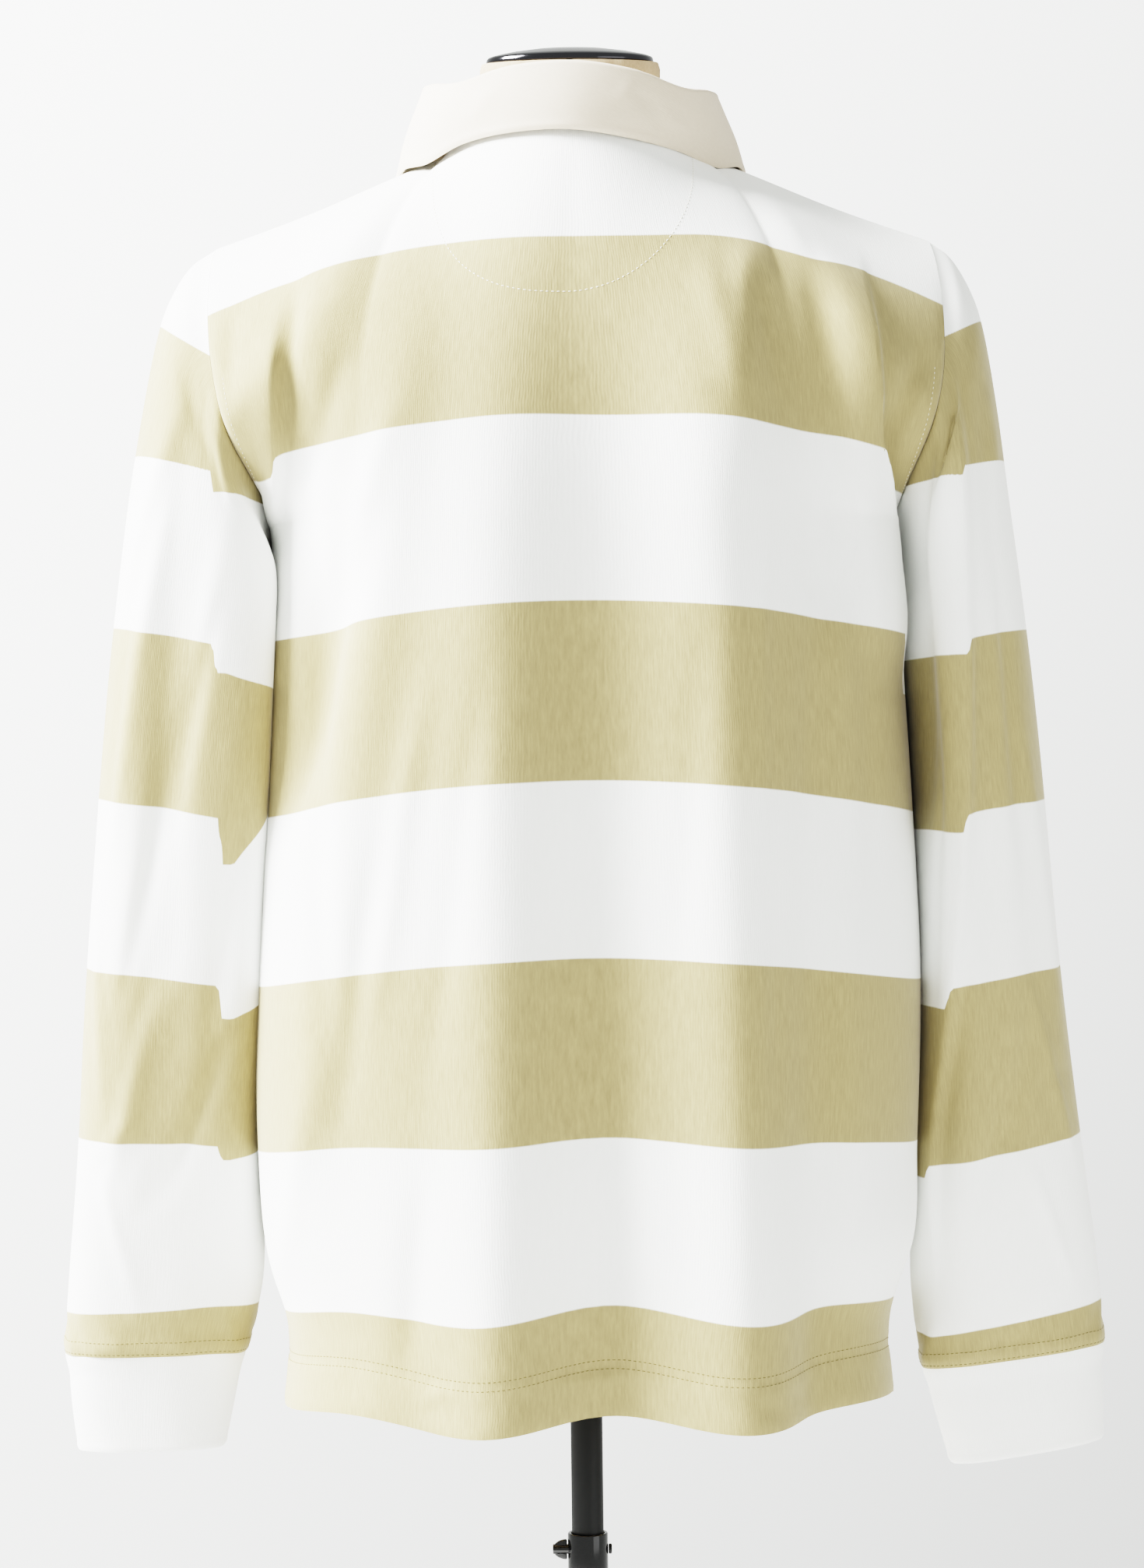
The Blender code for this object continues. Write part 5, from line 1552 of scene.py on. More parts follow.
    def build(self) -> None:
        """Builds the sleeve, its cuff and their sewing."""
        sleeve = self.sheet(self.rings, self.rows, True)
        foot = sleeve.points[-1].copy()
        self.dress_sleeve(sleeve)
        sleeve.normals[0] = self.body.armhole_normal(self.armhole_numbers(), self.side)
        sleeve.points[0, :, 0] += self.side.value * 0.15
        cuff = self.sheet(self.cuff_rings, self.cuff_rows, False)
        self.dress_cuff(cuff, foot)
        for name, cloth, slot in (
            (f"sleeve_{self.word}", sleeve, "jersey"),
            (f"cuff_{self.word}", cuff, "jersey_white"),
        ):
            outward = cloth if self.side is Side.RIGHT else cloth.flipped(0)
            piece = outward.wall(f"{name}_cloth", self.wall, JERSEY)
            join_piece(piece, FIGURE, (name,))
            cloth.declare(piece, "hung", "form_torso")
        # The hem rows' thread colour carries painted shade for the stitches' small shadows.
        rows = StitchRow(f"sleeve_sewing_{self.word}", GREEN_THREAD_PAINTED_SHADE, length=2.0, pitch=2.9)
        for distance in self.hem_rows:
            rows.sew(*sleeve.along_edge(Edge.LAST_ROW, distance), closed=True)
        join_piece(rows.build(), FIGURE)


LEFT_RINGS = (
    SleeveRing(212.0, 1452, 177.0, 1284, 170, -3),
    SleeveRing(227.0, 1441, 179.7, 1266, 168, -3),
    SleeveRing(239.0, 1420, 181.0, 1248, 168, -2),
    SleeveRing(247.0, 1394, 182.0, 1228, 168, -2),
    SleeveRing(255.0, 1356, 183.4, 1202, 168, -1),
    SleeveRing(263.0, 1310, 185.4, 1172, 166, 0),
    SleeveRing(271.0, 1255, 187.6, 1138, 160, 2),
    SleeveRing(279.0, 1194, 189.9, 1102, 152, 5),
    SleeveRing(288.0, 1105, 193.1, 1045, 140, 9),
    SleeveRing(296.0, 1015, 194.5, 975, 124, 13),
    SleeveRing(302.5, 922, 193.8, 898, 100, 17),
    SleeveRing(309.5, 845, 193.5, 838, 78, 19),
    SleeveRing(313.5, 792, 204.0, 792, 64, 20),
)
RIGHT_RINGS = (
    SleeveRing(212.0, 1452, 188.0, 1284, 170, -3),
    SleeveRing(225.0, 1441, 190.6, 1266, 168, -3),
    SleeveRing(236.0, 1420, 191.9, 1248, 168, -2),
    SleeveRing(243.0, 1394, 193.1, 1228, 168, -2),
    SleeveRing(250.0, 1350, 194.8, 1202, 168, -1),
    SleeveRing(256.0, 1302, 196.7, 1172, 166, 0),
    SleeveRing(263.5, 1246, 198.6, 1138, 160, 2),
    SleeveRing(270.5, 1186, 200.4, 1102, 152, 5),
    SleeveRing(279.0, 1100, 202.6, 1045, 140, 9),
    SleeveRing(287.5, 1008, 203.0, 975, 124, 13),
    SleeveRing(298.5, 916, 199.6, 893, 100, 17),
    SleeveRing(307.5, 845, 196.5, 832, 78, 19),
    SleeveRing(312.5, 792, 202.0, 777, 64, 20),
)
LEFT_CUFF_RINGS = (
    SleeveRing(311.5, 792, 205.0, 792, 62, 20),
    SleeveRing(310.0, 763, 211.0, 764, 56, 20),
    SleeveRing(306.5, 734, 217.0, 735, 50, 20),
)
RIGHT_CUFF_RINGS = (
    SleeveRing(310.5, 792, 203.0, 777, 62, 20),
    SleeveRing(311.5, 763, 210.0, 748, 56, 20),
    SleeveRing(312.0, 734, 218.0, 719, 50, 20),
)


def make_sleeves(body: ShirtBody) -> tuple[Sleeve, Sleeve]:
    """The left and the right sleeve with their own folds and stripes."""
    left = Sleeve(
        side=Side.LEFT,
        body=body,
        rings=LEFT_RINGS,
        cuff_rings=LEFT_CUFF_RINGS,
        folds=(
            SleeveFold(82, 1400, 86, 930, 14, -4),
            SleeveFold(136, 1400, 142, 900, 18, 13),
            SleeveFold(100, 960, 128, 735, 24, -3),
            SleeveFold(255, 1380, 240, 850, 24, -7),
        ),
        runs=(
            StripeRun(1530.0, 1480, 0, 0, 0),
            StripeRun(1442.5, 1403, 24, 2, 6),
            StripeRun(1338.5, 1325.8, 13, 12.4, 18.3),
            StripeRun(1233.5, 1225.5, 12.3, 16.1, 28.1),
            StripeRun(1131.7, 1124.8, 11.6, 27, -22),
            StripeRun(1031.2, 1024.4, 9.4, 19, 2),
            StripeRun(927.7, 922.5, 3.5, 8, 3),
            StripeRun(830.2, 817.4, -4, 0, 0),
            StripeRun(772.0, 760, 0, 0, 0),
        ),
        fold_line=(
            FoldPlace(1400, 209),
            FoldPlace(1224, 210),
            FoldPlace(1124, 210.5),
            FoldPlace(1021, 214),
            FoldPlace(830, 215),
        ),
        creases=(
            Crease(66, 1190, 4, 260, 8, 2.2),
            Crease(94, 1120, 8, 300, 7, -2.6),
            Crease(93, 1165, 2, 230, 8, -1.5),
            Crease(72, 1190, 3, 240, 12, 1.2),
            Crease(136, 1080, 4, 240, 7, -2.2),
            Crease(48, 1010, -10, 180, 8, 1.8),
            Crease(84, 960, 14, 170, 8, 2.2),
            Crease(112, 930, 22, 150, 7, -2.4),
            Crease(76, 860, -24, 110, 6, 1.6),
            Crease(58, 1290, 14, 160, 9, 1.8),
            Crease(108, 1290, 10, 160, 10, -1.0),
            Crease(70, 925, 55, 60, 5, 1.4),
            Crease(40, 905, -50, 60, 5, -1.3),
            Crease(188, 1262, 0, 110, 16, 1.4),
            Crease(270, 1200, 4, 300, 9, 2.2),
            Crease(300, 1100, -8, 260, 9, -2.2),
            Crease(330, 1000, 6, 240, 9, 1.8),
            Crease(250, 980, -10, 220, 8, -2.0),
        ),
        tuck=SleeveTuck(3.0, 14.0, 24.0, 12.0),
    )
    right = Sleeve(
        side=Side.RIGHT,
        body=body,
        rings=RIGHT_RINGS,
        cuff_rings=RIGHT_CUFF_RINGS,
        folds=(
            SleeveFold(62, 1400, 66, 930, 16, -3),
            SleeveFold(140, 1400, 143, 1090, 20, -9),
            SleeveFold(112, 1090, 112, 820, 22, 5),
            SleeveFold(258, 1380, 245, 850, 24, -7),
        ),
        runs=(
            StripeRun(1530.0, 1480, 0, 0, 0),
            StripeRun(1442.5, 1399.4, 15, 2, 6),
            StripeRun(1338.5, 1316.5, 6.3, 5.2, 9.8),
            StripeRun(1233.5, 1218, 6.9, 8.4, 10.4),
            StripeRun(1131.7, 1118, 8, 10, 9),
            StripeRun(1031.2, 1019.4, 9.8, 12.4, 12.4),
            StripeRun(927.7, 919, 17, 7.3, 6.3),
            StripeRun(830.2, 818, 20.6, 0, -1.5),
            StripeRun(772.0, 760, 16, 0, 0),
        ),
        fold_line=(
            FoldPlace(1400, 210),
            FoldPlace(1311, 222),
            FoldPlace(1216, 225),
            FoldPlace(1102, 225),
            FoldPlace(1012, 221),
            FoldPlace(905, 209),
            FoldPlace(830, 208),
        ),
        creases=(
            Crease(70, 1180, -4, 260, 8, -2.0),
            Crease(96, 1120, -6, 300, 7, -2.4),
            Crease(50, 1090, 6, 260, 9, 1.8),
            Crease(140, 1080, -4, 240, 7, -2.0),
            Crease(60, 960, 16, 160, 7, 2.0),
            Crease(96, 930, -18, 150, 7, -2.0),
            Crease(44, 955, 80, 50, 4, -1.4),
            Crease(74, 870, 20, 110, 6, 1.6),
            Crease(60, 1290, -14, 160, 9, 1.8),
            Crease(270, 1200, -4, 300, 9, 2.2),
            Crease(300, 1100, 8, 260, 9, -2.2),
            Crease(330, 1000, -6, 240, 9, 1.8),
            Crease(250, 980, 10, 220, 8, -2.0),
        ),
        tuck=SleeveTuck(7.0, 0.0, 3.5, 24.0),
    )
    return left, right


# ---------------------------------------------------------------- collar


@dataclass
class Collar:
    """The folded twill collar, one strip that turns over a soft roll."""

    body: ShirtBody
    wall: float = 2.0
    roll: float = 2.8
    tilt: float = 3.0
    edge_tilt: float = 3.0
    seam_gap: float = 0.6
    bow: float = 2.5
    map_per_degree: float = 1.55
    map_length: float = 96.0
    half_columns: int = 90
    stand_rows: int = 10
    roll_rows: int = 12
    leaf_rows: int = 34
    table: tuple[CollarPoint, ...] = (
        CollarPoint(0, 0, -83, 1547, 0, -86, 1506.5),
        CollarPoint(22, 35, -77, 1544, 34, -77, 1504.5),
        CollarPoint(45, 64, -58, 1537.5, 63, -54, 1501),
        CollarPoint(68, 81, -29, 1541, 86, -26, 1495),
        CollarPoint(90, 86, 6, 1543, 103, 6, 1497.0),
        CollarPoint(112, 81, 40, 1530, 107, 46, 1482),
        CollarPoint(135, 63, 66, 1506, 97, 80, 1452),
        CollarPoint(158, 34, 83, 1480, 74, 103, 1424),
        CollarPoint(180, 6, 90, 1464, 50, 115, 1403),
    )

    def curve(self, turn: Array, name: str) -> Array:
        """A column of the table, read at turns on either side of the back's middle."""
        places, values = column(self.table, "turn"), column(self.table, name)
        mirror = -1 if name.endswith("_x") else 1
        places = np.concatenate([[-places[1]], places])
        values = np.concatenate([[mirror * values[1]], values])
        return through(places, values, np.abs(turn))

    def base(self, turn: Array) -> Array:
        """The neckline at a turn from the middle of the back."""
        share = np.where(np.abs(turn) <= 90, np.abs(turn), 180 - np.abs(turn)) / 90
        share = np.maximum(share * self.body.neck_share, 1e-6)
        back = self.body.top_point(share, Face.BACK)
        front = self.body.top_point(share, Face.FRONT)
        points = np.where((np.abs(turn) <= 90)[:, None], back, front)
        points[:, 0] *= np.where(turn < 0, -1, 1)
        return points

    def sheet(self) -> Cloth:
        """The whole strip: up inside the neck, over the roll and down to its edge."""
        last = 180 - self.body.slot_share / self.body.neck_share * 90
        turn = np.linspace(-last, last, 2 * self.half_columns + 1)
        base = self.base(turn)
        away = unit(base * [1, 1, 0] - [0, self.body.seam_y, 0])
        side = np.where(turn < 0, -1.0, 1.0)
        roll = stacked(*(self.curve(turn, f"roll_{axis}") for axis in "xyz"))
        edge = stacked(*(self.curve(turn, f"edge_{axis}") for axis in "xyz"))
        roll[:, 0] *= side
        edge[:, 0] *= side
        roll[:, 2] -= self.tilt * np.sin(np.radians(turn))
        lean = np.where(np.abs(turn) < 90, np.sin(np.radians(2 * turn)), 0)
        edge[:, 2] -= self.edge_tilt * lean
        start = base - away * self.body.wall + [0, 0, self.seam_gap]
        crown = roll - [0, 0, self.roll]
        inner_end = crown - away * self.roll
        rise = inner_end - start
        rows = [start + rise * k / self.stand_rows for k in range(self.stand_rows)]
        for k in range(self.roll_rows + 1):
            angle = math.pi * k / self.roll_rows
            out, up = -math.cos(angle), math.sin(angle)
            rows.append(crown + self.roll * (out * away + [0, 0, up]))
        leaf = rows[-1]
        for k in range(1, self.leaf_rows + 1):
            share = k / self.leaf_rows
            lift = self.bow * math.sin(math.pi * share)
            rows.append(leaf + (edge - leaf) * share + away * lift)
        points = np.array(rows)
        normals = -grid_normals(points, False)
        reach = np.linspace(0, 1, len(rows))[:, None]
        flat = stacked(turn * self.map_per_degree, reach * self.map_length, 0)[..., :2]
        cloth = Cloth(points, normals, flat, np.zeros(points.shape[:2]))
        self.dress(cloth, turn, reach)
        return cloth

    def dress(self, cloth: Cloth, turn: Array, reach: Array) -> None:
        """Soft dents in the leaf, its turned edge and a slight wave of the edge."""
        from_edge = cloth.distance_from(Edge.LAST_ROW)
        on_leaf = ease(0.38, 0.6, reach)
        x, z = cloth.points[..., 0], cloth.points[..., 2]
        relief = 0.7 * on_leaf * unevenness(turn[None] / 14, z / 17, 1.7)
        relief += on_leaf * crease_height(
            x,
            z,
            (
                Crease(46, 1522, -48, 34, 5, -0.9),
                Crease(60, 1514, -60, 30, 4, 0.8),
                Crease(34, 1530, 30, 26, 5, 0.8),
                Crease(-52, 1524, 40, 34, 6, 0.7),
            ),
        )
        relief += 0.35 * hump(from_edge, 3.2, 1.6)
        relief -= 0.8 * hump(from_edge, 0, 1.0)
        cloth.raise_by(relief)

    def build(self) -> None:
        """Builds the collar and reports it."""
        cloth = self.sheet()
        piece = cloth.flipped(1).wall("collar_cloth", self.wall, TWILL)
        join_piece(piece, FIGURE, ("collar",))
        cloth.declare(piece, "folded", "front_cloth")


# ---------------------------------------------------------------- placket and buttons


@dataclass
class Placket:
    """The half placket: two twill strips and the buttons that hold the top one."""

    body: ShirtBody
    front: Cloth
    half_width: float = 16.0
    foot: float = 1274.0
    top: float = 1431.0
    under_foot: float = 1278.0
    gap: float = 0.7
    wall: float = 1.6
    rows: int = 80
    columns: int = 24
    button_heights: tuple[float, ...] = (1414.0, 1358.0, 1302.0)
    button_radius: float = 5.75
    button_depth: float = 2.6
    button_rim: float = 1.3
    button_dish: float = 0.7
    hole_radius: float = 0.55
    hole_reach: float = 1.5

    def surface(self, x: Array, z: Array) -> Array:
        """Points of the front's smooth shape under the strip, at places x and z."""
        share, level = np.meshgrid(np.linspace(-0.2, 0.2, 81), np.linspace(0.9, 2.0, 160))
        points = self.body.smooth(share, level, Face.FRONT)
        folds = self.body.fold_height(points[..., 0], points[..., 2], self.body.front_folds)
        fade = ease(0, 0.3, 2 - level)
        normals = -grid_normals(points, False)
        points = points + normals * (folds * fade)[..., None]
        rows = points[:, points.shape[1] // 2, 2]
        y = np.empty_like(x)
        for k in np.ndindex(x.shape):
            near = self.rows_near(rows, z[k])
            across = [np.interp(x[k], points[row, :, 0], points[row, :, 1]) for row in near]
            y[k] = np.interp(z[k], rows[near], across)
        return stacked(x, y, z)

    @staticmethod
    def rows_near(rows: Array, z: float) -> Array:
        """The two grid rows on either side of a height."""
        high = int(np.clip(np.searchsorted(rows, z), 1, len(rows) - 1))
        return np.array([high - 1, high])

    def strip(self, foot: float, stand_off: float) -> Cloth:
        """A strip of cloth that lies on the front, or under it where stand_off is negative."""
        across = np.linspace(self.half_width, -self.half_width, self.columns + 1)
        up = np.linspace(foot, self.top, self.rows + 1)
        x, z = np.meshgrid(across, up)
        points = self.surface(x, z)
        normals = grid_normals(points, False)
        flat = np.stack([x, z], axis=-1)
        cloth = Cloth(points, normals, flat, np.zeros_like(x))
        cloth.raise_by(np.full_like(x, stand_off))
        edge = np.minimum(cloth.distance_from_sides(), cloth.distance_from(Edge.FIRST_ROW))
        relief = 0.25 * hump(edge, 4.2, 1.5) - 0.5 * hump(edge, 0, 0.9)
        cloth.raise_by(relief - 0.2 * hump(edge, 2.6, 0.8))
        return cloth

    def button_place(self, height: float, strip: Cloth) -> tuple[Array, Array]:
        """The point on the strip's middle nearest to a height, and the normal there."""
        middle = self.columns // 2
        row = int(np.argmin(np.abs(strip.points[:, middle, 2] - height)))
        return strip.points[row, middle], strip.normals[row, middle]

    def button(self, number: int, height: float, strip: Cloth) -> bpy.types.Object:
        """A sewn button with a dished face, a rim and four holes crossed by thread."""
        place, normal = self.button_place(height, strip)
        deselect()
        bpy.ops.mesh.primitive_cylinder_add(
            vertices=48, radius=self.button_radius * MM, depth=self.button_depth * MM
        )
        button = bpy.context.object
        button.name = f"button_{number}_shell"
        pick_faces(button, lambda face: face.normal.z > 0.9)
        bpy.ops.mesh.inset(thickness=self.button_rim * MM, depth=0)
        bpy.ops.mesh.inset(thickness=self.button_dish * MM, depth=-self.button_dish * MM)
        bpy.ops.object.mode_set(mode="OBJECT")
        soften(button, 0.45, 3)
        for turn in range(4):
            angle = math.radians(45 + 90 * turn)
            reach = self.hole_reach * MM
            bpy.ops.mesh.primitive_cylinder_add(
                vertices=16,
                radius=self.hole_radius * MM,
                depth=3 * self.button_depth * MM,
                location=(reach * math.cos(angle), reach * math.sin(angle), 0),
            )
            drill = bpy.context.object
            cut = button.modifiers.new("hole", "BOOLEAN")
            cut.object = drill
            deselect()
            button.select_set(True)
            bpy.context.view_layer.objects.active = button
            for name in [modifier.name for modifier in button.modifiers]:
                bpy.ops.object.modifier_apply(modifier=name)
            bpy.data.objects.remove(drill)
        button.rotation_mode = "QUATERNION"
        button.rotation_quaternion = Vector(normal).to_track_quat("Z", "Y")
        button.location = Vector((place + normal * (self.button_depth / 2 + 0.35)) * MM)
        return settle(button, BUTTON)

    def button_threads(self, strip: Cloth) -> bpy.types.Object:
        """The crossed threads that hold the buttons."""
        threads = StitchRow("button_threads", PALE_THREAD, length=3.4, pitch=1.0, radius=0.3)
        for height in self.button_heights:
            place, normal = self.button_place(height, strip)
            side = unit(np.cross([0.0, 0.0, 1.0], normal))
            up = np.cross(normal, side)
            for way in (unit(side + up), unit(side - up)):
                across = np.cross(normal, way)
                centre = place + normal * (self.button_depth - 0.2)
                threads.placed.append(np.stack([way, across, normal, centre])[None])
        return threads.build()

    def build(self) -> None:
        """Builds the strips, their sewing, the buttons and their threads."""
        top = self.strip(self.foot, self.gap + self.wall)
        under = self.strip(self.under_foot, -(self.body.wall + self.gap))
        for name, cloth in (("placket_top", top), ("placket_under", under)):
            piece = cloth.wall(f"{name}_cloth", self.wall, TWILL)
            join_piece(piece, FIGURE, (name,))
            cloth.declare(piece, "laid", "front_cloth")
        sewing = StitchRow("placket_sewing", PALE_THREAD, length=2.2, pitch=3.0)
        for edge in (Edge.FIRST_COLUMN, Edge.LAST_COLUMN):
            sewing.sew(*top.along_edge(edge, 2.6, slice(3, -1)))
        for distance in (2.6, 14.0):
            sewing.sew(*top.along_edge(Edge.FIRST_ROW, distance, slice(2, -2)))
        join_piece(sewing.build(), FIGURE)
        for number, height in enumerate(self.button_heights, 1):
            button = self.button(number, height, top)
            join_piece(button, FIGURE, (f"button_{number}",))
        join_piece(self.button_threads(top), FIGURE)


# ---------------------------------------------------------------- dress form


@dataclass
class DressForm:
    """The linen torso, its polished neck cap and the socket under it."""

    rings: tuple[FormRing, ...] = (
        FormRing(800, 146, 92, 92, 2.2),
        FormRing(806, 151, 96, 95, 2.2),
        FormRing(850, 159, 101, 98, 2.2),
        FormRing(920, 162, 103, 99, 2.2),
        FormRing(1010, 156, 98, 95, 2.2),
        FormRing(1090, 149, 92, 92, 2.2),
        FormRing(1180, 153, 98, 98, 2.2),
        FormRing(1260, 160, 106, 102, 2.2),
        FormRing(1330, 166, 108, 98, 2.2),
        FormRing(1380, 172, 102, 88, 2.1),
        FormRing(1415, 174, 90, 72, 2.0),
        FormRing(1438, 171, 75, 58, 1.8),
        FormRing(1452, 162, 66, 53, 1.65),
        FormRing(1464, 137, 57, 50, 1.5),
        FormRing(1476, 104, 54, 50, 1.5),
        FormRing(1488, 75, 53, 51, 1.7),
        FormRing(1500, 61, 48, 50, 2.0),
        FormRing(1516, 55, 43, 47, 2.0),
        FormRing(1560, 54, 40, 46, 2.0),
    )
    sides: int = 128
    rows: int = 150
    row_heights: tuple[tuple[float, ...], ...] = (
        (0, 0.02, 0.6, 0.9, 1),
        (800, 806, 1330, 1500, 1560),
    )
    map_radius: float = 150.0
    seam_turns: tuple[float, ...] = (0, 60, 90, 120, 180, 240, 270, 300)
    seam_depth: float = 0.8
    seam_width: float = 1.6
    seam_start: tuple[float, float] = (812.0, 830.0)
    top_roll: float = 1.2
    top_roll_width: float = 1.8
    neck_slant: float = 0.105
    cap_radius: float = 50.0
    cap_rim: float = 2.2
    cap_steps: tuple[tuple[float, float], ...] = (
        (0.7, 1.4),
        (3.3, 1.2),
        (10.0, 2.1),
        (14.0, 1.9),
        (16.0, 0.8),
    )
    cap_depth_share: float = 0.78
    cap_middle_y: float = 3.0
    cap_gap: float = 0.3
    socket_radius: float = 16.0
    socket_foot: float = 756.0
    bore_radius: float = 10.0

    def torso(self) -> bpy.types.Object:
        """The padded torso in its linen cover, with the cover's seams sunk in."""
        heights = column(self.rings, "height")
        z = np.interp(np.linspace(0, 1, self.rows + 1), *self.row_heights)
        read = {name: through(heights, column(self.rings, name), z)[:, None] for name in FormRing._fields}
        turn = 2 * math.pi * np.arange(self.sides) / self.sides
        power = 2 / read["roundness"]
        cosine, sine = np.cos(turn)[None], np.sin(turn)[None]
        x = read["half_width"] * np.sign(cosine) * np.abs(cosine) ** power
        reach = np.where(sine < 0, read["back"], read["front"])
        y = reach * np.sign(sine) * np.abs(sine) ** power
        neck = ease(self.rings[-2].height, self.rings[-1].height, z)[:, None]
        points = stacked(x, y, z[:, None] + self.neck_slant * y * neck)
        normals = grid_normals(points, True)
        seams = np.zeros_like(x)
        for seam in self.seam_turns:
            off = (turn[None] - math.radians(seam) + math.pi) % (2 * math.pi) - math.pi
            distance = np.abs(off) * np.hypot(x, y)
            seams -= self.seam_depth * hump(distance, 0, self.seam_width)
        top = self.rings[-1].height
        roll = self.top_roll * hump(z, top, self.top_roll_width)[:, None]
        relief = seams * ease(*self.seam_start, z)[:, None] - roll
        points = points + normals * relief[..., None]
        mesh = bpy.data.meshes.new("torso_cover")
        number = np.arange(points.shape[0] * self.sides).reshape(-1, self.sides)
        following = np.roll(number, -1, axis=1)
        quads = np.stack([number[:-1], following[:-1], following[1:], number[1:]], -1).reshape(-1, 4)
        faces = [*quads.tolist(), number[0][::-1].tolist(), number[-1].tolist()]
        mesh.from_pydata(points.reshape(-1, 3) * MM, [], faces)
        girth = 2 * math.pi * self.map_radius * MM
        share = np.arange(self.sides) / self.sides
        flat = np.stack(np.broadcast_arrays(share[None] * girth, z[:, None] * MM), -1).reshape(-1, 2)
        corners = flat[np.concatenate([quads.reshape(-1), number[0][::-1], number[-1]])]
        closing = np.zeros((len(quads), 4), bool)
        closing.reshape(points.shape[0] - 1, self.sides, 4)[:, -1, 1:3] = True
        corners[: quads.size][closing.reshape(-1), 0] += girth
        layer = mesh.uv_layers.new(name="cloth")
        layer.data.foreach_set("uv", corners.reshape(-1).astype(np.float32))
        return show_mesh(mesh, LINEN, SHARP_ANGLE)

    def cap(self) -> bpy.types.Object:
        """The neck cap: an oval plate with a low dome, slanted as the neck's top is."""
        foot = self.rings[-1].height + self.cap_gap
        cap = rod("cap_shell", self.cap_radius, foot, foot + self.cap_rim, 160)
        pick_faces(cap, lambda face: face.normal.z > 0.9)
        for width, rise in self.cap_steps:
            bpy.ops.mesh.inset(thickness=width * MM, depth=rise * MM)
        bpy.ops.object.mode_set(mode="OBJECT")
        soften(cap, 3.0, 4, 8.0)
        # The cap's finish carries a painted dark reflection in its darkened metal colour.
        settle(cap, CHROME_PAINTED_DARK_REFLECTION, 40.0)
        shape = Matrix.Identity(4)
        shape[1][1], shape[1][3] = self.cap_depth_share, self.cap_middle_y * MM
        shape[2][1] = self.neck_slant * self.cap_depth_share
        shape[2][3] = self.neck_slant * self.cap_middle_y * MM
        cap.data.transform(shape)
        return cap

    def socket(self) -> bpy.types.Object:
        """The steel socket that takes the post."""
        top = self.rings[0].height - self.cap_gap
        socket = rod("socket_shell", self.socket_radius, self.socket_foot, top)
        bore_through(socket, self.socket_radius - self.bore_radius)
        soften(socket, 0.8)
        return settle(socket, BLACK_STEEL)

    def build(self) -> None:
        """Builds the torso, the cap and the socket."""
        join_piece(self.torso(), FIGURE, ("form_torso",))
        join_piece(self.cap(), FIGURE, ("neck_cap",))
        join_piece(self.socket(), FIGURE, ("form_socket",))


# ---------------------------------------------------------------- stand


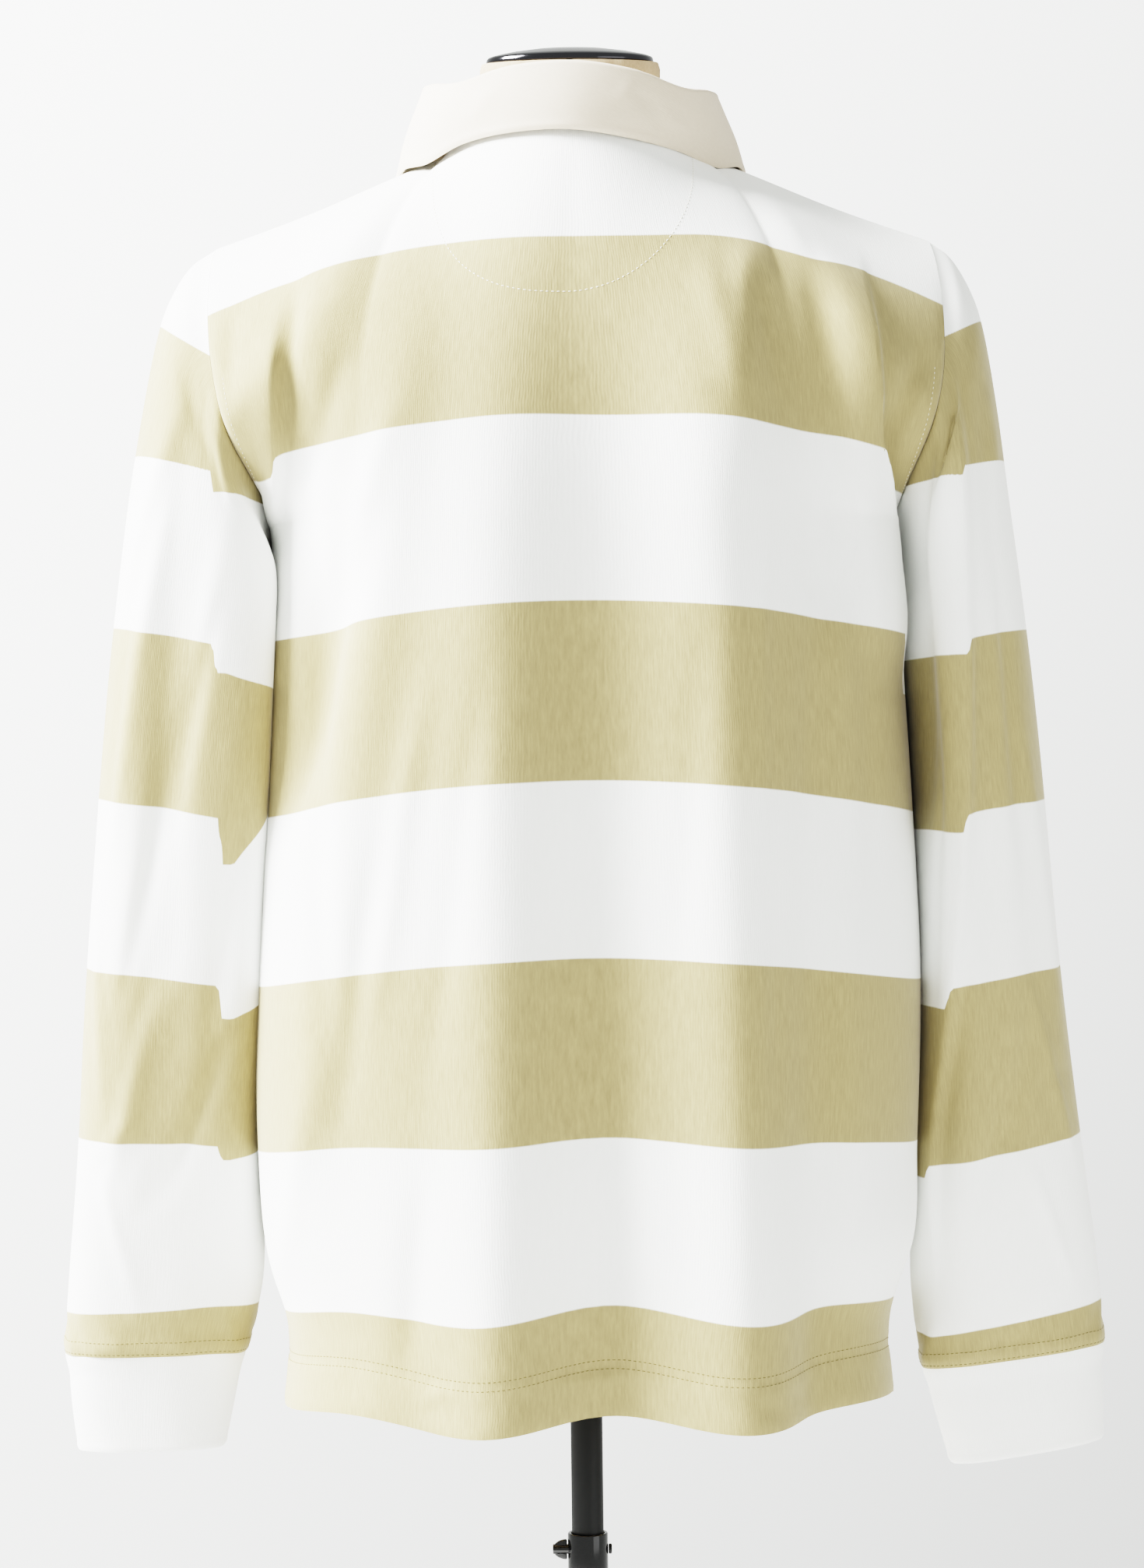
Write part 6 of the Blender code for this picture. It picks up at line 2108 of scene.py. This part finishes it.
@dataclass
class Stand:
    """The post, the outer tube with its clamp and wing screw, and the round foot."""

    post_radius: float = 9.5
    post_foot: float = 300.0
    post_top: float = 799.7
    bore_radius: float = 10.0
    tube_radius: float = 11.6
    clamp_radius: float = 12.0
    clamp_top: float = 683.0
    clamp_foot: float = 643.0
    screw_height: float = 673.0
    screw_radius: float = 3.0
    wing_start: float = 12.6
    wing_end: float = 21.0
    wing_span: float = 6.0
    wing_thickness: float = 3.0
    foot_radius: float = 190.0
    foot_thickness: float = 10.0
    foot_rim: float = 7.0
    foot_step: tuple[float, float] = (1.2, -0.8)
    foot_middle: float = 150.0
    boss_radius: float = 20.0
    boss_height: float = 32.0
    gap: float = 0.3

    def post(self) -> bpy.types.Object:
        """The inner post, with eased ends."""
        post = rod("post_shell", self.post_radius, self.post_foot, self.post_top)
        soften(post, 0.8)
        return settle(post, BLACK_STEEL)

    def tube(self) -> bpy.types.Object:
        """The outer tube from the foot to the clamp."""
        foot, top = self.foot_thickness + self.gap, self.clamp_foot - self.gap
        tube = rod("tube_shell", self.tube_radius, foot, top)
        bore_through(tube, self.tube_radius - self.bore_radius)
        return settle(tube, BLACK_STEEL)

    def clamp(self) -> bpy.types.Object:
        """The glossy clamp sleeve with its rounded lip."""
        clamp = rod("clamp_shell", self.clamp_radius, self.clamp_foot, self.clamp_top)
        bore_through(clamp, self.clamp_radius - self.bore_radius)
        soften(clamp, 0.8, 4)
        return settle(clamp, BLACK_GLOSS)

    def rivet(self) -> bpy.types.Object:
        """The screw's small end on the clamp's far side."""
        rivet = rod("rivet_shell", self.screw_radius, 0, 2.0, 32)
        soften(rivet, 0.7)
        self.lay_along_x(rivet, self.clamp_radius + self.gap, self.screw_height)
        return settle(rivet, BLACK_STEEL)

    @staticmethod
    def lay_along_x(piece: bpy.types.Object, x: float, height: float) -> None:
        """Turns an upright piece along X, with its foot at x."""
        piece.rotation_euler = (0, math.pi / 2, 0)
        piece.location = (x * MM, 0, height * MM)

    def screw(self) -> bpy.types.Object:
        """The wing screw: a shaft and a flat wing with a rounded end."""
        length = self.wing_end - self.post_radius - self.gap
        shaft = rod("screw_shell", self.screw_radius, -length, 0, 32)
        soften(shaft, 0.5)
        self.lay_along_x(shaft, -(self.post_radius + self.gap), self.screw_height)
        settle(shaft, BLACK_GLOSS)
        deselect()
        bpy.ops.mesh.primitive_cylinder_add(
            vertices=64,
            radius=self.wing_span * MM,
            depth=self.wing_thickness * MM,
            location=(-self.wing_start * MM, 0, self.screw_height * MM),
            rotation=(math.pi / 2, 0, 0),
        )
        wing = bpy.context.object
        stretch = (self.wing_end - self.wing_start) / self.wing_span
        wing.scale = (stretch, 1, 1)
        bpy.ops.object.transform_apply(location=True, rotation=True, scale=True)
        bpy.ops.object.mode_set(mode="EDIT")
        bpy.ops.mesh.select_all(action="SELECT")
        bpy.ops.mesh.bisect(
            plane_co=(-self.wing_start * MM, 0, self.screw_height * MM),
            plane_no=(1, 0, 0),
            use_fill=True,
            clear_outer=True,
        )
        bpy.ops.object.mode_set(mode="OBJECT")
        soften(wing, 1.0, 4)
        settle(wing, BLACK_GLOSS)
        union = shaft.modifiers.new("wing", "BOOLEAN")
        union.operation = "UNION"
        union.object = wing
        settle(shaft, BLACK_GLOSS)
        bpy.data.objects.remove(wing)
        return shaft

    def foot(self) -> bpy.types.Object:
        """The heavy round foot with a stepped, eased rim."""
        foot = rod("foot_shell", self.foot_radius, 0, self.foot_thickness, 192)
        pick_faces(foot, lambda face: face.normal.z > 0.9)
        for width, rise in ((self.foot_rim, 0), self.foot_step, (self.foot_middle, 0)):
            bpy.ops.mesh.inset(thickness=width * MM, depth=rise * MM)
        bpy.ops.object.mode_set(mode="OBJECT")
        soften(foot, 1.2, 3, 50.0)
        return settle(foot, BLACK_STEEL, 25.0)

    def boss(self) -> bpy.types.Object:
        """The collar that holds the tube on the foot."""
        boss = rod("boss_shell", self.boss_radius, self.foot_thickness + self.gap, self.boss_height)
        bore_through(boss, self.boss_radius - self.tube_radius - self.gap)
        soften(boss, 1.5, 4)
        return settle(boss, BLACK_STEEL)

    def build(self) -> None:
        """Builds every piece of the stand on the body that it moves with."""
        join_piece(self.post(), MAST, ("post",))
        join_piece(self.tube(), STAND, ("outer_tube",))
        join_piece(self.clamp(), STAND, ("clamp_sleeve",))
        join_piece(self.rivet(), STAND, ("clamp_rivet",))
        join_piece(self.screw(), CLAMP_SCREW, ("wing_screw",))
        join_piece(self.foot(), STAND, ("base_plate",))
        join_piece(self.boss(), STAND, ("base_boss",))


# ---------------------------------------------------------------- studio


@dataclass
class Studio:
    """Pale floor, soft light mostly from the left, and the camera level with the waist."""

    floor_radius: float = 3.0
    camera_place: tuple[float, float, float] = (-0.004, -2.3, 1.13)
    camera_roll: float = -0.7
    lens: float = 88.39
    key_place: tuple[float, float, float] = (-2.71, -0.48, 3.15)
    key_power: float = 640.0
    fill_place: tuple[float, float, float] = (2.6, -2.2, 1.4)
    fill_power: float = 15.0
    surround: float = 0.75
    backdrop: float = 1.7
    backdrop_fall: float = 0.494
    backdrop_way: tuple[float, float, float] = (0.8, 0.0, -0.6)
    backdrop_reach: float = 0.26
    aim_height: float = 1.15

    def floor(self) -> None:
        """A plain pale floor, wide enough for the stand and short of the camera's view."""
        deselect()
        bpy.ops.mesh.primitive_circle_add(vertices=128, radius=self.floor_radius, fill_type="NGON")
        floor = bpy.context.object
        floor.name = "floor"
        made = bpy.data.materials.new("pale floor")
        made.use_nodes = True
        nodes = Nodes(made.node_tree)
        shader = made.node_tree.nodes["Principled BSDF"]
        place = nodes.add("ShaderNodeTexCoord").outputs["Object"]
        mottle = MottleGroup().place(nodes, Vector=place, Scale=3.0, Amount=0.05)
        nodes.tree.links.new(nodes.math("ADD", mottle.outputs[0], 0.8), shader.inputs["Roughness"])
        shader.inputs["Base Color"].default_value = linear(232, 232, 230)
        floor.data.materials.append(made)

    def light(self, name: str, place: tuple[float, float, float], size: float, power: float) -> None:
        """A soft square light that faces the shirt's chest."""
        data = bpy.data.lights.new(name, "AREA")
        data.size = size
        data.energy = power
        lamp = bpy.data.objects.new(name, data)
        bpy.context.scene.collection.objects.link(lamp)
        lamp.location = place
        lamp.rotation_mode = "QUATERNION"
        aim = Vector((0, 0, self.aim_height)) - Vector(place)
        lamp.rotation_quaternion = aim.to_track_quat("-Z", "Y")

    def surroundings(self) -> None:
        """The pale backdrop, brightest at the upper left, and the room's soft light."""
        world = bpy.data.worlds.new("pale studio")
        bpy.context.scene.world = world
        world.use_nodes = True
        nodes = Nodes(world.node_tree)
        background = world.node_tree.nodes["Background"]
        way = nodes.add("ShaderNodeTexCoord").outputs["Generated"]
        product = {0: way, 1: self.backdrop_way}
        fall = nodes.add("ShaderNodeVectorMath", product, operation="DOT_PRODUCT").outputs["Value"]
        reach = self.backdrop_reach
        place = nodes.add("ShaderNodeMapRange", {0: fall, 1: -reach, 2: reach, 3: -1.0, 4: 1.0})
        fading = nodes.math("POWER", self.backdrop_fall, place.outputs[0])
        path = nodes.add("ShaderNodeLightPath").outputs["Is Camera Ray"]
        seen = nodes.math("MULTIPLY", fading, self.backdrop)
        room = nodes.math("MULTIPLY", nodes.math("SUBTRACT", 1.0, path), self.surround)
        strength = nodes.math("MULTIPLY_ADD", path, seen, room)
        background.inputs["Color"].default_value = (0.985, 1.0, 0.975, 1)
        nodes.tree.links.new(strength, background.inputs["Strength"])

    def camera(self) -> None:
        """The photograph's camera: level, a long lens, turned a little on its axis."""
        data = bpy.data.cameras.new("camera")
        data.lens = self.lens
        data.sensor_width = 36.0
        data.clip_end = 60.0
        camera = bpy.data.objects.new("camera", data)
        bpy.context.scene.collection.objects.link(camera)
        upright = Matrix.Rotation(math.pi / 2, 4, "X")
        roll = Matrix.Rotation(math.radians(self.camera_roll), 4, "Z")
        camera.matrix_world = Matrix.Translation(self.camera_place) @ upright @ roll
        bpy.context.scene.camera = camera

    def build(self) -> None:
        """Sets the floor, the lights, the surroundings, the camera and the tone curve."""
        self.floor()
        self.light("key", self.key_place, 1.5, self.key_power)
        self.light("fill", self.fill_place, 2.2, self.fill_power)
        self.surroundings()
        self.camera()
        bpy.context.scene.view_settings.view_transform = "Filmic"
        bpy.context.scene.view_settings.look = "Very High Contrast"


def main() -> None:
    """Builds the shirt, then what carries it, then the studio."""
    logging.basicConfig(level=logging.INFO, format="%(message)s")
    Studio().build()
    body = ShirtBody()
    body.build()
    for sleeve in make_sleeves(body):
        sleeve.build()
    Collar(body).build()
    Placket(body, body.sheet(Face.FRONT)).build()
    DressForm().build()
    Stand().build()


if __name__ == "__main__":
    main()
